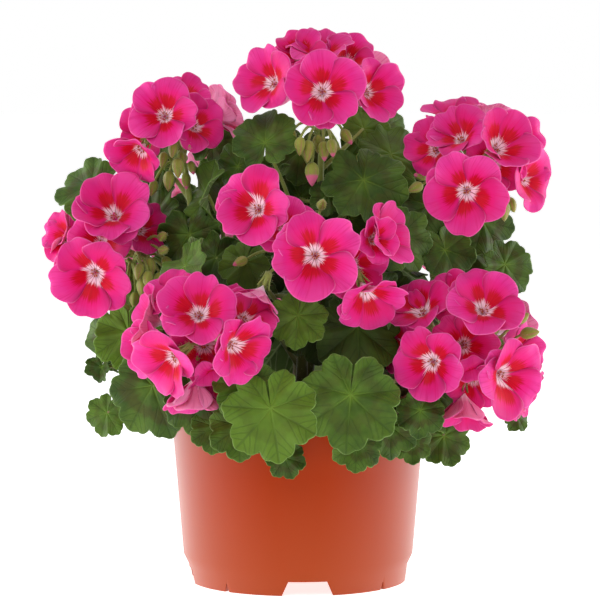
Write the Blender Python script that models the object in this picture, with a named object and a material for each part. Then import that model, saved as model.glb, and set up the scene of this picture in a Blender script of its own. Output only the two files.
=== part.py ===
"""Potted zonal geranium in a 13 cm grower pot.

Lengths are worked out in millimetres and written to the meshes in metres, +Z up.
The origin is on the pot's axis, at the height of its feet, and the front faces -Y.
Leaves, petals and buds are lens-shaped blades and spindles set out by rule, each
one grown from its own stalk, and joined into one body for each shoot and head.
"""

import math
import random
from dataclasses import dataclass, field

import bmesh
import bpy
from mathutils import Matrix, Vector
from mathutils.bvhtree import BVHTree

MM = 0.001

# Pot
POT_HEIGHT = 98.0
POT_RIM_RADIUS = 66.3
POT_TAPER = 0.084
POT_WALL = 1.5
POT_LIP = 2.4
POT_LIP_HEIGHT = 9.0
POT_BAND_TOP = 9.0
POT_CHAMFER = 5.0
POT_BAND_RADIUS = 56.6
POT_FOOT_RADIUS = 55.6
POT_FLOOR_UNDER = 7.2
POT_FLOOR_TOP = 9.0
POT_FOOT_WALL = 2.6
POT_SEGMENTS = 28
FOOT_GAP_WIDTH = 30.0
FOOT_GAP_SLANT = 5.2
NOTCH_WIDTH = 5.6
NOTCH_HEIGHT = 4.0
FOOT_TURN = math.radians(5.0)
DRAIN_RADIUS = 4.0
DRAIN_CIRCLE = 38.0
DRAINS = 6

# Soil
SOIL_TOP = 88.0
SOIL_DOME = 3.0
SOIL_SEGMENTS = 20
SOIL_BUMP = 1.1
SOIL_RING = 0.6
SEAT_GAP = 0.3
WALL_GAP = 0.55

# Shoots
STEM_RADIUS = 3.6
STEM_DEPTH = 22.0
STEM_UPRIGHT = 7.0
STEM_SIDES = 5
STEM_CLEARANCE = 0.6
STEM_BENDS = (0, 6, -6, 12, -12, 18, -18, 26, -26)
STALK_RADIUS = 1.7
STEM_RADII = (STEM_RADIUS, STEM_RADIUS, 3.1, 2.6, 2.1, STALK_RADIUS, STALK_RADIUS)
PETIOLE_RADII = (1.3, 1.1, 0.5)
PEDICEL_RADIUS = 1.0
HUB_RADIUS = 3.4
BRACT_REACHES = (0.8, 0.2, -0.4, -1.0)

# Flowers
PETAL_THICKNESS = 1.1
CALYX_LENGTH = 8.0
CALYX_RADIUS = 3.3
PETAL_SUNK = 1.4
OUTER_PETALS = 5
PETAL_RISE = 24.0
INNER_RISE = 8.0
INNER_LIFT = 2.0
PETAL_CURL = 0.22
PETAL_ROLL = 0.15
PETAL_HALF = 0.5
NOTCH_SHARE = 0.40
INNER_LENGTH = 0.76
INNER_OPENING = 32.0

# Leaves
LEAF_THICKNESS = 1.2
LEAF_LOBES = 7
LEAF_RING = 3
RING_SHARE = 0.5
RING_SPAN = 0.80
PETIOLE_REACH = 0.4
SINUS = math.radians(12.0)
LOBE_DEPTH = 0.10

# Buds
BUD_SIDES = 3
BUD_STALK = 0.9
BUD_ROOT = 2.6
BUD_SHIFTS = (0, -4, 4, -8, 8, -12, 12, -16, 16)
BUD_LIFTS = (10, 4, 16, -3, 22)

# The viewpoint that the near side was set out from
VIEW_DISTANCE = 1500.0
VIEW_ELEVATION = math.radians(4.0)
VIEW_AIM = Vector((1.0, 0.0, 144.5))
PIXEL = 0.515
PICTURE_MIDDLE = 300.0

# Room kept round every piece while it is placed, and the seed of all that varies
CLEAR = 0.45
SEED = 11
LEAF_SHIFTS = (0, 3, -3, 6, -6, 10, -10, 14, 18, 22)
LEAF_LEANS = ((0, 0), (10, 0), (-10, 0), (0, 12), (0, -12), (20, 8), (-20, 8))
FLOWER_TRIES = [
    (push, turn, rise)
    for push in (0, 2, -2, 4, 6, -4, 8)
    for turn in (0, 8, -8, 16, -16)
    for rise in (0, 8, -8, 16, -16)
]

COLOURS = {
    "pot": ((0.45, 0.085, 0.03), 0.38),
    "soil": ((0.035, 0.022, 0.015), 0.95),
    "shoot": ((0.055, 0.12, 0.025), 0.55),
    "head": ((0.72, 0.02, 0.2), 0.5),
}


@dataclass
class Flower:
    """One open flower: throat across and down the picture, and depth in mm."""

    across: float
    down: float
    depth: float
    radius: float
    turn: float
    tilt: float
    petals: int = 6
    opening: float = 88.0


@dataclass
class Leaf:
    """One leaf: middle across and down the picture, depth in mm, and pose in degrees."""

    across: float
    down: float
    depth: float
    radius: float
    turn: float
    tilt: float
    tip: float
    fold: float = 0.0


@dataclass
class Bud:
    """One bud: middle across and down the picture, depth, length and lean in degrees."""

    across: float
    down: float
    depth: float
    length: float = 11.0
    turn: float = 0.0
    tilt: float = -60.0


@dataclass
class Shoot:
    """A stem with its flower head: foot on the soil, and the head's middle."""

    foot: tuple
    hub: tuple
    flowers: list = field(default_factory=list)
    buds: list = field(default_factory=list)
    leaves: list = field(default_factory=list)


SHOOTS = {
    "crown": Shoot(
        foot=(4.0, 12.0),
        hub=(322, 128, 2.0),
        flowers=[
            Flower(322, 93, -26, 21.5, 3, 10, 7),
            Flower(279, 86, -8, 19.5, -42, 16, 6),
            Flower(360, 93, -6, 18.0, 46, 6, 6, 80),
            Flower(321, 66, 12, 18.5, -5, 66, 6),
            Flower(296, 84, 30, 19.0, 205, 24, 5),
            Flower(352, 84, 32, 19.0, 150, 18, 5),
        ],
        buds=[
            Bud(291, 139, -12, 10, -30, -70),
            Bud(308, 151, -16, 12, -10, -75),
            Bud(324, 151, -14, 11, 10, -75),
            Bud(312, 174, -14, 13, 0, -80),
            Bud(338, 156, -10, 11, 30, -65),
            Bud(347, 137, -8, 10, 50, -50),
        ],
        leaves=[
            Leaf(265, 138, -6, 17.5, -12, 28, 95),
            Leaf(236, 164, -2, 12, -20, 15, 130),
            Leaf(395, 152, 10, 20, 22, 42, 45),
            Leaf(366, 186, -16, 22, 8, 24, -75),
            Leaf(328, 197, -12, 10, 0, 20, -95),
            Leaf(300, 205, 2, 22, -4, 10, -90),
            Leaf(300, 156, 10, 16, -6, 20, -95),
            Leaf(344, 163, 12, 17, 8, 20, -80),
            Leaf(366, 126, 18, 14, 12, 30, 50),
        ],
    ),
    "upper_left": Shoot(
        foot=(-24.0, 14.0),
        hub=(184, 158, 4.0),
        flowers=[
            Flower(166, 118, -14, 19.2, -8, 14, 6),
            Flower(145, 144, -20, 16.5, -34, -22, 5, 78),
            Flower(209, 122, 8, 18, 112, 25, 6),
            Flower(172, 126, 30, 18.5, 200, 22, 5),
        ],
        buds=[
            Bud(173, 150, -12, 9, -20, -70),
            Bud(188, 145, -10, 8, 20, -40),
            Bud(178, 168, -12, 11, 0, -80),
            Bud(169, 181, -8, 11, -20, -80),
            Bud(153, 188, -4, 9, -40, -70),
        ],
        leaves=[
            Leaf(208, 190, -8, 16, -68, 10, 95, 0.4),
            Leaf(190, 240, -6, 17.5, -14, 6, -80),
            Leaf(222, 205, 16, 20, -10, 30, 100),
            Leaf(150, 215, 22, 19, -40, 20, 160),
            Leaf(214, 140, 16, 14, -8, 20, 70),
        ],
    ),
    "left": Shoot(
        foot=(-40.0, -6.0),
        hub=(132, 254, -2.0),
        flowers=[
            Flower(116, 221, -18, 22, -6, 42, 7),
            Flower(97, 271, -28, 22.5, -10, -4, 6),
            Flower(86, 232, 8, 17.5, -82, 22, 6),
            Flower(112, 236, 26, 20, 205, 18, 5),
        ],
        buds=[
            Bud(163, 236, -14, 9, 20, 20),
            Bud(150, 268, -14, 11, 10, -75),
            Bud(160, 283, -12, 12, 20, -80),
            Bud(143, 288, -14, 12, -5, -85),
            Bud(168, 264, -8, 10, 40, -40),
            Bud(125, 316, -14, 13, -5, -85),
        ],
        leaves=[
            Leaf(87, 188, 2, 18, -28, 36, 190),
            Leaf(105, 340, 4, 17.5, -66, 0, -95, 0.15),
            Leaf(128, 338, -10, 18.5, -16, 4, -95),
            Leaf(101, 369, -4, 7.5, -30, 10, -110, 0.5),
            Leaf(168, 305, 6, 22, -16, 6, -100),
        ],
    ),
    "centre": Shoot(
        foot=(2.0, -22.0),
        hub=(302, 256, -50.0),
        flowers=[
            Flower(315, 256, -82, 23.5, 2, 4, 6),
            Flower(261, 211, -64, 21, -20, 14, 6),
            Flower(370, 241, -58, 17.5, 58, 18, 5, 75),
            Flower(362, 283, -68, 19, 30, -44, 6, 74),
            Flower(263, 286, -68, 15, -34, -50, 5, 62),
        ],
        buds=[
            Bud(240, 262, -46, 9, -60, -20),
            Bud(322, 204, -48, 9, 10, 30),
        ],
        leaves=[
            Leaf(402, 241, -26, 17.5, 18, 14, -60),
            Leaf(244, 266, -44, 13.5, -12, 12, -110),
            Leaf(298, 320, -70, 15, -6, 14, -95),
            Leaf(358, 334, -64, 23, 8, 18, -90),
            Leaf(340, 300, -30, 22, 6, 10, -80),
            Leaf(246, 312, -26, 20, -8, 8, -110),
        ],
    ),
    "upper_right": Shoot(
        foot=(27.0, 12.0),
        hub=(480, 172, -4.0),
        flowers=[
            Flower(467, 190, -36, 22.5, -6, -2, 6),
            Flower(464, 145, -18, 18, -30, 42, 6),
            Flower(492, 153, -28, 18.5, 14, 20, 5, 66),
            Flower(515, 179, -14, 18.0, 52, 2, 6),
            Flower(453, 128, 8, 17, -25, 72, 5),
            Flower(488, 140, 22, 18.5, 175, 32, 5),
        ],
        buds=[
            Bud(415, 188, -6, 10, -60, -20),
            Bud(504, 211, -14, 11, 10, -80),
            Bud(440, 212, -6, 9, -30, -70),
        ],
        leaves=[
            Leaf(447, 254, -20, 15, 10, 22, -70),
            Leaf(508, 268, -6, 15.5, 26, 12, -45),
            Leaf(430, 200, 14, 20, 10, 26, 60),
            Leaf(470, 250, 14, 19, 30, 20, -20),
        ],
    ),
    "lower_left": Shoot(
        foot=(-24.0, -28.0),
        hub=(205, 345, -60.0),
        flowers=[
            Flower(200, 319, -88, 20.5, -6, 28, 6),
            Flower(226, 342, -94, 19, 26, 0, 6),
            Flower(180, 353, -86, 19, -44, -16, 6),
            Flower(196, 374, -76, 16, -12, -76, 5, 58),
            Flower(165, 324, -60, 16.5, -78, 20, 5, 76),
            Flower(221, 311, -60, 13.5, 12, 62, 5, 76),
        ],
        buds=[
            Bud(216, 386, -66, 10, 20, -80),
            Bud(250, 356, -62, 9, 60, -50),
        ],
        leaves=[
            Leaf(155, 393, -44, 24, -14, 6, -70),
            Leaf(106, 416, -22, 11.5, -18, 6, -110),
            Leaf(214, 430, -64, 12.5, -6, 10, -95),
            Leaf(246, 388, -74, 16.5, -10, 16, -80),
            Leaf(272, 416, -84, 23.5, -6, 12, -80),
            Leaf(286, 460, -76, 10, 0, 8, -70),
        ],
    ),
    "lower_right": Shoot(
        foot=(28.0, -26.0),
        hub=(468, 352, -32.0),
        flowers=[
            Flower(426, 318, -48, 18, -34, 44, 6),
            Flower(482, 315, -56, 21.5, 6, 34, 6),
            Flower(435, 361, -60, 19.5, -18, -4, 6),
            Flower(494, 372, -58, 21.5, 40, -8, 6),
            Flower(463, 390, -46, 16, -8, -78, 5, 58),
            Flower(511, 386, -26, 14.5, 78, -28, 5, 76),
            Flower(496, 334, -2, 19, 130, 22, 5),
        ],
        buds=[
            Bud(530, 333, -34, 11, 60, 10),
            Bud(508, 288, -44, 9, 30, 60),
        ],
        leaves=[
            Leaf(420, 414, -58, 12.5, 8, 12, -95),
            Leaf(412, 444, -50, 10.5, 10, 6, -90),
            Leaf(445, 440, -42, 14, 14, 4, -75),
            Leaf(518, 417, -16, 8, 30, 6, -60),
            Leaf(350, 403, -84, 25, 4, 12, -95),
            Leaf(357, 447, -78, 13, 6, 6, -95),
            Leaf(400, 380, -40, 21, 14, 8, -90),
            Leaf(470, 375, -8, 20, 30, 10, -80),
        ],
    ),
}

# Rear heads: foot, middle, the way the head faces, flowers
REAR_HEADS = {
    "rear_left": ((-20.0, 34.0), (-52.0, 56.0, 176.0), (-0.55, 0.75, 0.35), 5),
    "rear_right": ((22.0, 34.0), (56.0, 58.0, 158.0), (0.5, 0.8, 0.25), 4),
    "rear_low": ((0.0, 44.0), (0.0, 70.0, 132.0), (0.05, 0.98, 0.1), 4),
}
REAR_FLOWER_RADIUS = 19.5
REAR_SMALLER = 0.94
REAR_OPENINGS = (86.0, 82.0)
REAR_SPREAD = math.radians(58.0)
REAR_STALK = 27.0

# Rear and inner leaves, set out over a dome
DOME_CENTRE = Vector((0.0, 0.0, 128.0))
DOME_WIDTH = 84.0
DOME_HEIGHT = 78.0
SIDE_WIDTH = 74.0
GOLDEN_TURN = math.radians(137.508)
REAR_LEAVES = 14
REAR_LEVELS = (-0.45, 0.70)
REAR_NARROWING = 2.15
SIDE_LEVELS = (-0.42, 0.12, -0.2, 0.38)
SIDE_TURNS = (-4.0, -13.0)
SIDE_LEAF_RADIUS = 20.0
REAR_LEAF_RADIUS = (19.0, 25.0)


def eye_point():
    """Where the viewpoint is."""
    forward = Vector((0.0, math.cos(VIEW_ELEVATION), -math.sin(VIEW_ELEVATION)))
    return VIEW_AIM - forward * VIEW_DISTANCE


def seen(across, down, depth):
    """Point at a depth on the line of sight through a place in the picture."""
    forward = Vector((0.0, math.cos(VIEW_ELEVATION), -math.sin(VIEW_ELEVATION)))
    up = Vector((0.0, math.sin(VIEW_ELEVATION), math.cos(VIEW_ELEVATION)))
    eye = eye_point()
    ray = forward * VIEW_DISTANCE
    ray = ray + Vector((1.0, 0.0, 0.0)) * ((across - PICTURE_MIDDLE) * PIXEL)
    ray = ray + up * ((PICTURE_MIDDLE - down) * PIXEL)
    return eye + ray * ((depth - eye.y) / ray.y)


def facing(turn, tilt):
    """Direction for a turn to the right of the front and a tilt upwards, in degrees."""
    turn = math.radians(turn)
    tilt = math.radians(tilt)
    flat = math.cos(tilt)
    return Vector((math.sin(turn) * flat, -math.cos(turn) * flat, math.sin(tilt)))


def square_to(axis, hint):
    """Unit direction square to an axis, as close as can be to a hint."""
    side = hint - axis * hint.dot(axis)
    if side.length < 1e-6:
        side = Vector((1.0, 0.0, 0.0)).cross(axis)
    return side.normalized()


def bow(start, end, middle, count):
    """Points along a quadratic curve that is drawn towards its middle point."""
    points = []
    for i in range(count + 1):
        t = i / count
        points.append(start * (1 - t) ** 2 + middle * (2 * t * (1 - t)) + end * t ** 2)
    return points


def tube(path, radii, sides):
    """Closed tube along a path, with one radius for each of its points."""
    points = []
    faces = []
    tangent = (path[1] - path[0]).normalized()
    side = square_to(tangent, Vector((0.31, 0.2, 0.93)))
    count = len(path)
    for i in range(count):
        ahead = path[min(i + 1, count - 1)] - path[max(i - 1, 0)]
        tangent = ahead.normalized()
        side = square_to(tangent, side)
        across = tangent.cross(side)
        for k in range(sides):
            angle = 2 * math.pi * k / sides
            spoke = side * math.cos(angle) + across * math.sin(angle)
            points.append(path[i] + spoke * radii[i])
    for i in range(count - 1):
        for k in range(sides):
            a = i * sides + k
            b = i * sides + (k + 1) % sides
            faces.append((a, b, b + sides))
            faces.append((a, b + sides, a + sides))
    last = (count - 1) * sides
    for k in range(1, sides - 1):
        faces.append((0, k + 1, k))
        faces.append((last, last + k, last + k + 1))
    return points, faces


def spindle(start, axis, profile, sides):
    """Closed turned shape from (height, radius) pairs, pointed at both ends."""
    side = square_to(axis, Vector((0.21, 0.95, 0.17)))
    across = axis.cross(side)
    points = [start + axis * profile[0][0]]
    for height, radius in profile[1:-1]:
        for k in range(sides):
            angle = 2 * math.pi * k / sides
            spoke = side * math.cos(angle) + across * math.sin(angle)
            points.append(start + axis * height + spoke * radius)
    points.append(start + axis * profile[-1][0])
    rings = len(profile) - 2
    faces = []
    for k in range(sides):
        after = (k + 1) % sides
        faces.append((0, 1 + after, 1 + k))
        for ring in range(rings - 1):
            a = 1 + ring * sides + k
            b = 1 + ring * sides + after
            faces.append((a, b, b + sides))
            faces.append((a, b + sides, a + sides))
        top = 1 + (rings - 1) * sides
        faces.append((top + k, top + after, len(points) - 1))
    return points, faces


def lens(sheet, edge, triangles, normal, thickness):
    """Closed blade: edge points are shared, the others are moved to both faces."""
    points = list(sheet)
    under = {}
    for i in range(len(sheet)):
        if i in edge:
            under[i] = i
        else:
            under[i] = len(points)
            points.append(sheet[i] - normal * (thickness / 2))
            points[i] = sheet[i] + normal * (thickness / 2)
    faces = list(triangles)
    for a, b, c in triangles:
        faces.append((under[c], under[b], under[a]))
    return points, faces


def petal_point(throat, axis, outward, length, opening, along, beside, rise=PETAL_RISE):
    """Point of a petal, by its share along and its offset in mm beside the middle."""
    first = math.radians(rise)
    last = math.radians(opening)
    turned = first + (last - first) * along
    reach = length * (math.cos(first) - math.cos(turned)) / (last - first)
    height = length * (math.sin(turned) - math.sin(first)) / (last - first)
    curl = PETAL_CURL * beside * beside / length
    across = axis.cross(outward)
    lift = height + curl + PETAL_ROLL * beside
    return throat + outward * reach + axis * lift + across * beside


def petal(throat, axis, outward, length, opening, swell=0.0):
    """One closed inner petal, which stands up from the calyx."""
    half = length * PETAL_HALF
    rows = ((0.45, (-0.5, 0.0, 0.5)), (0.78, (-0.95, 0.0, 0.95)), (1.0, (-0.5, 0.5)))
    sheet = [throat - axis * PETAL_SUNK + outward * 0.4]
    base = throat + axis * INNER_LIFT
    for along, places in rows:
        for place in places:
            beside = place * (half + swell)
            stretched = length + swell * along
            point = petal_point(base, axis, outward, stretched, opening, along, beside, INNER_RISE)
            sheet.append(point)
    normal = (sheet[4] - sheet[2]).cross(sheet[6] - sheet[2]).normalized()
    if normal.dot(axis) < 0:
        normal = -normal
    triangles = PETAL_TRIANGLES
    first = (sheet[2] - sheet[0]).cross(sheet[1] - sheet[0])
    if first.dot(normal) < 0:
        triangles = tuple((x, z, y) for x, y, z in triangles)
    return lens(sheet, PETAL_EDGE, triangles, normal, PETAL_THICKNESS + 2 * swell)


def corolla(hub, throat, axis, lobes, swell=0.0):
    """Outer petals, each rolled over the next, grown with their calyx and stalk.

    Each lobe is given by its outward direction, length and opening.
    """
    count = len(lobes)
    points = []
    sheet_faces = []
    edge = set()
    points.append(throat + axis * 0.4)
    for outward, length, opening in lobes:
        points.append(throat + outward * (CALYX_RADIUS + swell) + axis * 1.2)
    mids = len(points)
    for outward, length, opening in lobes:
        points.append(petal_point(throat, axis, outward, length, opening, 0.62, 0.0))
    rims = len(points)
    for k in range(count):
        outward, length, opening = lobes[k]
        before = lobes[k - 1]
        between = (outward + before[0]).normalized()
        low = min(length, before[1])
        shut = (opening + before[2]) / 2
        notch = petal_point(throat, axis, between, low, shut, NOTCH_SHARE, 0.0)
        points.append(notch + between * swell)
        half = length * PETAL_HALF + swell
        for along, place in ((0.74, -1.0), (1.0, -0.5), (1.0, 0.5), (0.74, 1.0)):
            stretched = length + swell
            beside = half * place
            point = petal_point(throat, axis, outward, stretched, opening, along, beside)
            points.append(point)
    edge = set(range(rims, len(points)))
    for k in range(count):
        after = (k + 1) % count
        ring = 1 + k
        next_ring = 1 + after
        middle = mids + k
        notch = rims + 5 * k
        next_notch = rims + 5 * after
        sheet_faces.append((0, ring, next_ring))
        sheet_faces.append((ring, next_notch, next_ring))
        sheet_faces.append((ring, notch, middle))
        sheet_faces.append((ring, middle, next_notch))
        for step in range(4):
            sheet_faces.append((notch + step, notch + step + 1, middle))
        sheet_faces.append((notch + 4, next_notch, middle))
    top = list(points)
    faces = list(sheet_faces)
    under = {i: i for i in edge}
    thickness = PETAL_THICKNESS + 2 * swell
    for i in range(1, rims):
        under[i] = len(top)
        if i < mids:
            top.append(points[i] - axis * (thickness + 0.4))
        else:
            outward = lobes[i - mids][0]
            lean = (axis - outward * 0.35).normalized()
            top.append(points[i] - lean * (thickness / 2))
            top[i] = points[i] + lean * (thickness / 2)
    for a, b, c in sheet_faces:
        if a != 0:
            faces.append((under[c], under[b], under[a]))
    neck = len(top)
    foot = throat - axis * CALYX_LENGTH
    stalk = (foot - hub).normalized()
    for place, way in ((foot, (stalk + axis).normalized()), (hub, stalk)):
        for outward, length, opening in lobes:
            top.append(place + square_to(way, outward) * (PEDICEL_RADIUS + swell))
    for k in range(count):
        after = (k + 1) % count
        for upper, lower in ((under[1], neck), (neck, neck + count)):
            faces.append((upper + k, lower + k, lower + after))
            faces.append((upper + k, lower + after, upper + after))
    for k in range(1, count - 1):
        faces.append((neck + count, neck + count + k + 1, neck + count + k))
    return top, faces


PETAL_TRIANGLES = (
    (0, 2, 1), (0, 3, 2), (1, 2, 5), (1, 5, 4), (2, 3, 6), (2, 6, 5),
    (4, 5, 7), (5, 8, 7), (5, 6, 8),
)
PETAL_EDGE = {0, 1, 3, 4, 6, 7, 8}


def flower_solids(hub, throat, axis, radius, petals, opening, draw, swell=0.0):
    """Stalk, five outer petals and the smaller inner ones that stand up in their middle."""
    first = math.radians(PETAL_RISE)
    last = math.radians(opening)
    share = (math.cos(first) - math.cos(last)) / (last - first)
    length = radius / max(share, 0.45)
    side = square_to(axis, Vector((0.0, 0.0, 1.0)))
    across = axis.cross(side)
    start = draw.uniform(0.0, 2 * math.pi / OUTER_PETALS)
    lobes = []
    for k in range(OUTER_PETALS):
        angle = start + 2 * math.pi * k / OUTER_PETALS + draw.uniform(-0.07, 0.07)
        outward = side * math.cos(angle) + across * math.sin(angle)
        lobes.append((outward, length * draw.uniform(0.94, 1.03), opening + draw.uniform(-7, 6)))
    solids = [corolla(hub, throat, axis, lobes, swell)]
    for k in range(petals - OUTER_PETALS):
        angle = start + (2 * math.pi / OUTER_PETALS) * (0.5 + 2 * k)
        outward = side * math.cos(angle) + across * math.sin(angle)
        inner = petal(throat, axis, outward, length * INNER_LENGTH, opening - INNER_OPENING, swell)
        solids.append(inner)
    return solids


def leaf_outline(angle):
    """Reach of a leaf at an angle from its midrib, as a share of its half width."""
    span = math.pi - SINUS
    turns = LEAF_LOBES * (angle + span) / (2 * span)
    lobe = 0.5 - 0.5 * math.cos(2 * math.pi * turns)
    return (0.99 + 0.16 * math.cos(angle)) * (1 - LOBE_DEPTH + LOBE_DEPTH * lobe)


def leaf_height(share, angle, cup, wave, fold, phase):
    """Height of a leaf over its plane, as a share of its half width."""
    height = cup * share ** 2
    height = height + wave * share ** 1.5 * math.sin(3 * angle + phase)
    height = height + fold * share * abs(math.sin(angle))
    height = height - 0.10 * share ** 2 * math.cos(angle / 2) ** 2
    return height


def leaf_solid(attach, normal, midrib, radius, shape, swell=0.0):
    """One closed kidney-shaped leaf with a scalloped edge and an open sinus."""
    cup, wave, fold, phase = shape
    across = normal.cross(midrib)
    span = math.pi - SINUS
    sheet = [attach]
    edge = {0}
    angles = [(0.0, 0.0)]
    for k in range(LEAF_RING):
        angle = span * RING_SPAN * (2 * k / (LEAF_RING - 1) - 1)
        angles.append((angle, RING_SHARE))
    rim = 2 * LEAF_LOBES + 1
    for k in range(rim):
        angles.append((span * (2 * k / (rim - 1) - 1), 1.0))
    for angle, share in angles[1:]:
        reach = leaf_outline(angle) * share
        height = leaf_height(reach, angle, cup, wave, fold, phase) * radius
        out = reach * radius + swell
        flat = midrib * math.cos(angle) + across * math.sin(angle)
        sheet.append(attach + flat * out + normal * height)
    for k in range(rim):
        edge.add(1 + LEAF_RING + k)
    triangles = []
    for k in range(LEAF_RING - 1):
        triangles.append((0, 1 + k, 2 + k))
    triangles.append((0, 1 + LEAF_RING, 1))
    triangles.append((0, LEAF_RING, LEAF_RING + rim))
    i = 0
    j = 0
    while i < LEAF_RING - 1 or j < rim - 1:
        inner = 1 + i
        outer = 1 + LEAF_RING + j
        step_outer = i == LEAF_RING - 1
        if not step_outer and j < rim - 1:
            step_outer = (j + 0.5) / (rim - 1) <= (i + 0.5) / (LEAF_RING - 1)
        if step_outer:
            triangles.append((inner, outer, outer + 1))
            j += 1
        else:
            triangles.append((inner, outer, inner + 1))
            i += 1
    return lens(sheet, edge, triangles, normal, LEAF_THICKNESS + 2 * swell)


def petiole_end(attach, normal, midrib, radius, shape):
    """Place inside a leaf's thickness, a short way along its midrib."""
    cup, wave, fold, phase = shape
    share = 0.5 * leaf_outline(0.0)
    height = leaf_height(share, 0.0, cup, wave, fold, phase)
    return attach + (midrib * share + normal * height) * (radius * PETIOLE_REACH)


def bud_solid(root, knee, start, axis, length, swell=0.0):
    """One closed bud on its curved stalk, fattest above its base."""
    path = bow(root, start, knee, 2)
    path.append(start + axis * (0.5 * length))
    path.append(start + axis * length)
    radii = (BUD_STALK, BUD_STALK, 1.3, 0.22 * length, 0.3)
    return tube(path, [radius + swell for radius in radii], BUD_SIDES)


class Room:
    """Keeps the surfaces that stand so far, and says what a new one would touch."""

    def __init__(self):
        self.kept = []

    def add(self, node, solids, blade=False):
        """Remembers solids of a node."""
        for points, faces in solids:
            tree = BVHTree.FromPolygons(points, faces)
            low, high = limits(points)
            self.kept.append((node, blade, tree, low, high))

    def touches(self, node, solid, own_blades=False, only_blades=False):
        """Number of kept surfaces of other nodes that a solid meets."""
        points, faces = solid
        low, high = limits(points)
        tree = None
        count = 0
        for other, blade, kept, kept_low, kept_high in self.kept:
            if other == node and not (blade and own_blades):
                continue
            if only_blades and not blade:
                continue
            if any(low[i] > kept_high[i] or high[i] < kept_low[i] for i in range(3)):
                continue
            if tree is None:
                tree = BVHTree.FromPolygons(points, faces)
            if tree.overlap(kept):
                count += 1
        return count


def limits(points):
    """Lowest and highest corner of some points."""
    low = [min(p[i] for p in points) for i in range(3)]
    high = [max(p[i] for p in points) for i in range(3)]
    return low, high


def new_mesh(name, points, faces):
    """Mesh in metres from points in millimetres."""
    mesh = bpy.data.meshes.new(name)
    mesh.from_pydata([tuple(p * MM) for p in points], [], faces)
    mesh.update()
    return mesh


def new_object(name, mesh, kind):
    """Object with its own material."""
    colour, roughness = COLOURS[kind]
    material = bpy.data.materials.new(name + "_finish")
    material.use_nodes = True
    shader = material.node_tree.nodes["Principled BSDF"]
    shader.inputs["Base Color"].default_value = (*colour, 1.0)
    shader.inputs["Roughness"].default_value = roughness
    shader.inputs["Metallic"].default_value = 0.0
    mesh.materials.clear()
    mesh.materials.append(material)
    item = bpy.data.objects.new(name, mesh)
    bpy.context.scene.collection.objects.link(item)
    return item


def fuse(name, solids, kind):
    """One body from overlapping solids, as a single object."""
    group = bpy.data.collections.new(name + "_repeats")
    bpy.context.scene.collection.children.link(group)
    for points, faces in solids[1:]:
        piece = bpy.data.objects.new("repeat", new_mesh("repeat", points, faces))
        group.objects.link(piece)
    item = new_object(name, new_mesh(name, *solids[0]), kind)
    union = item.modifiers.new("union", "BOOLEAN")
    union.operation = "UNION"
    union.operand_type = "COLLECTION"
    union.collection = group
    union.solver = "MANIFOLD"
    graph = bpy.context.evaluated_depsgraph_get()
    graph.update()
    joined = bpy.data.meshes.new_from_object(item.evaluated_get(graph))
    item.modifiers.clear()
    old = item.data
    item.data = joined
    bpy.data.meshes.remove(old)
    for piece in list(group.objects):
        mesh = piece.data
        bpy.data.objects.remove(piece)
        bpy.data.meshes.remove(mesh)
    bpy.data.collections.remove(group)
    keep_largest(joined)
    item.data.materials.clear()
    item.data.materials.append(bpy.data.materials[name + "_finish"])
    return item


def keep_largest(mesh):
    """Drops scraps that stand apart and the walls of sealed hollows."""
    work = bmesh.new()
    work.from_mesh(mesh)
    bmesh.ops.triangulate(work, faces=work.faces)
    left = set(work.verts)
    groups = []
    while left:
        seed = left.pop()
        group = {seed}
        front = [seed]
        while front:
            vertex = front.pop()
            for edge in vertex.link_edges:
                other = edge.other_vert(vertex)
                if other in left:
                    left.remove(other)
                    group.add(other)
                    front.append(other)
        groups.append(group)
    groups.sort(key=len, reverse=True)
    for group in groups[1:]:
        bmesh.ops.delete(work, geom=list(group), context="VERTS")
    work.to_mesh(mesh)
    work.free()


def cut(item, cutters):
    """Takes cutters out of an object, and removes them."""
    for cutter in cutters:
        change = item.modifiers.new("cut", "BOOLEAN")
        change.operation = "DIFFERENCE"
        change.object = cutter
        change.solver = "EXACT"
    graph = bpy.context.evaluated_depsgraph_get()
    graph.update()
    done = bpy.data.meshes.new_from_object(item.evaluated_get(graph))
    item.modifiers.clear()
    item.data = done
    for cutter in cutters:
        bpy.data.objects.remove(cutter)


def turned(profile, segments):
    """Closed turned surface, from its top pole down the outside and up the inside."""
    points = [Vector((0.0, 0.0, profile[0][1]))]
    for radius, height in profile[1:-1]:
        for k in range(segments):
            angle = 2 * math.pi * (k + 0.5) / segments
            points.append(Vector((radius * math.cos(angle), radius * math.sin(angle), height)))
    points.append(Vector((0.0, 0.0, profile[-1][1])))
    faces = []
    rings = len(profile) - 2
    last = len(points) - 1
    for k in range(segments):
        after = (k + 1) % segments
        faces.append((0, 1 + k, 1 + after))
        for ring in range(rings - 1):
            a = 1 + ring * segments
            b = a + segments
            faces.append((a + k, b + k, b + after, a + after))
        end = 1 + (rings - 1) * segments
        faces.append((end + k, last, end + after))
    return points, faces


def wall_radius(height):
    """Outer radius of the pot's wall at a height."""
    return POT_RIM_RADIUS - (POT_HEIGHT - height) * POT_TAPER


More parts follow.
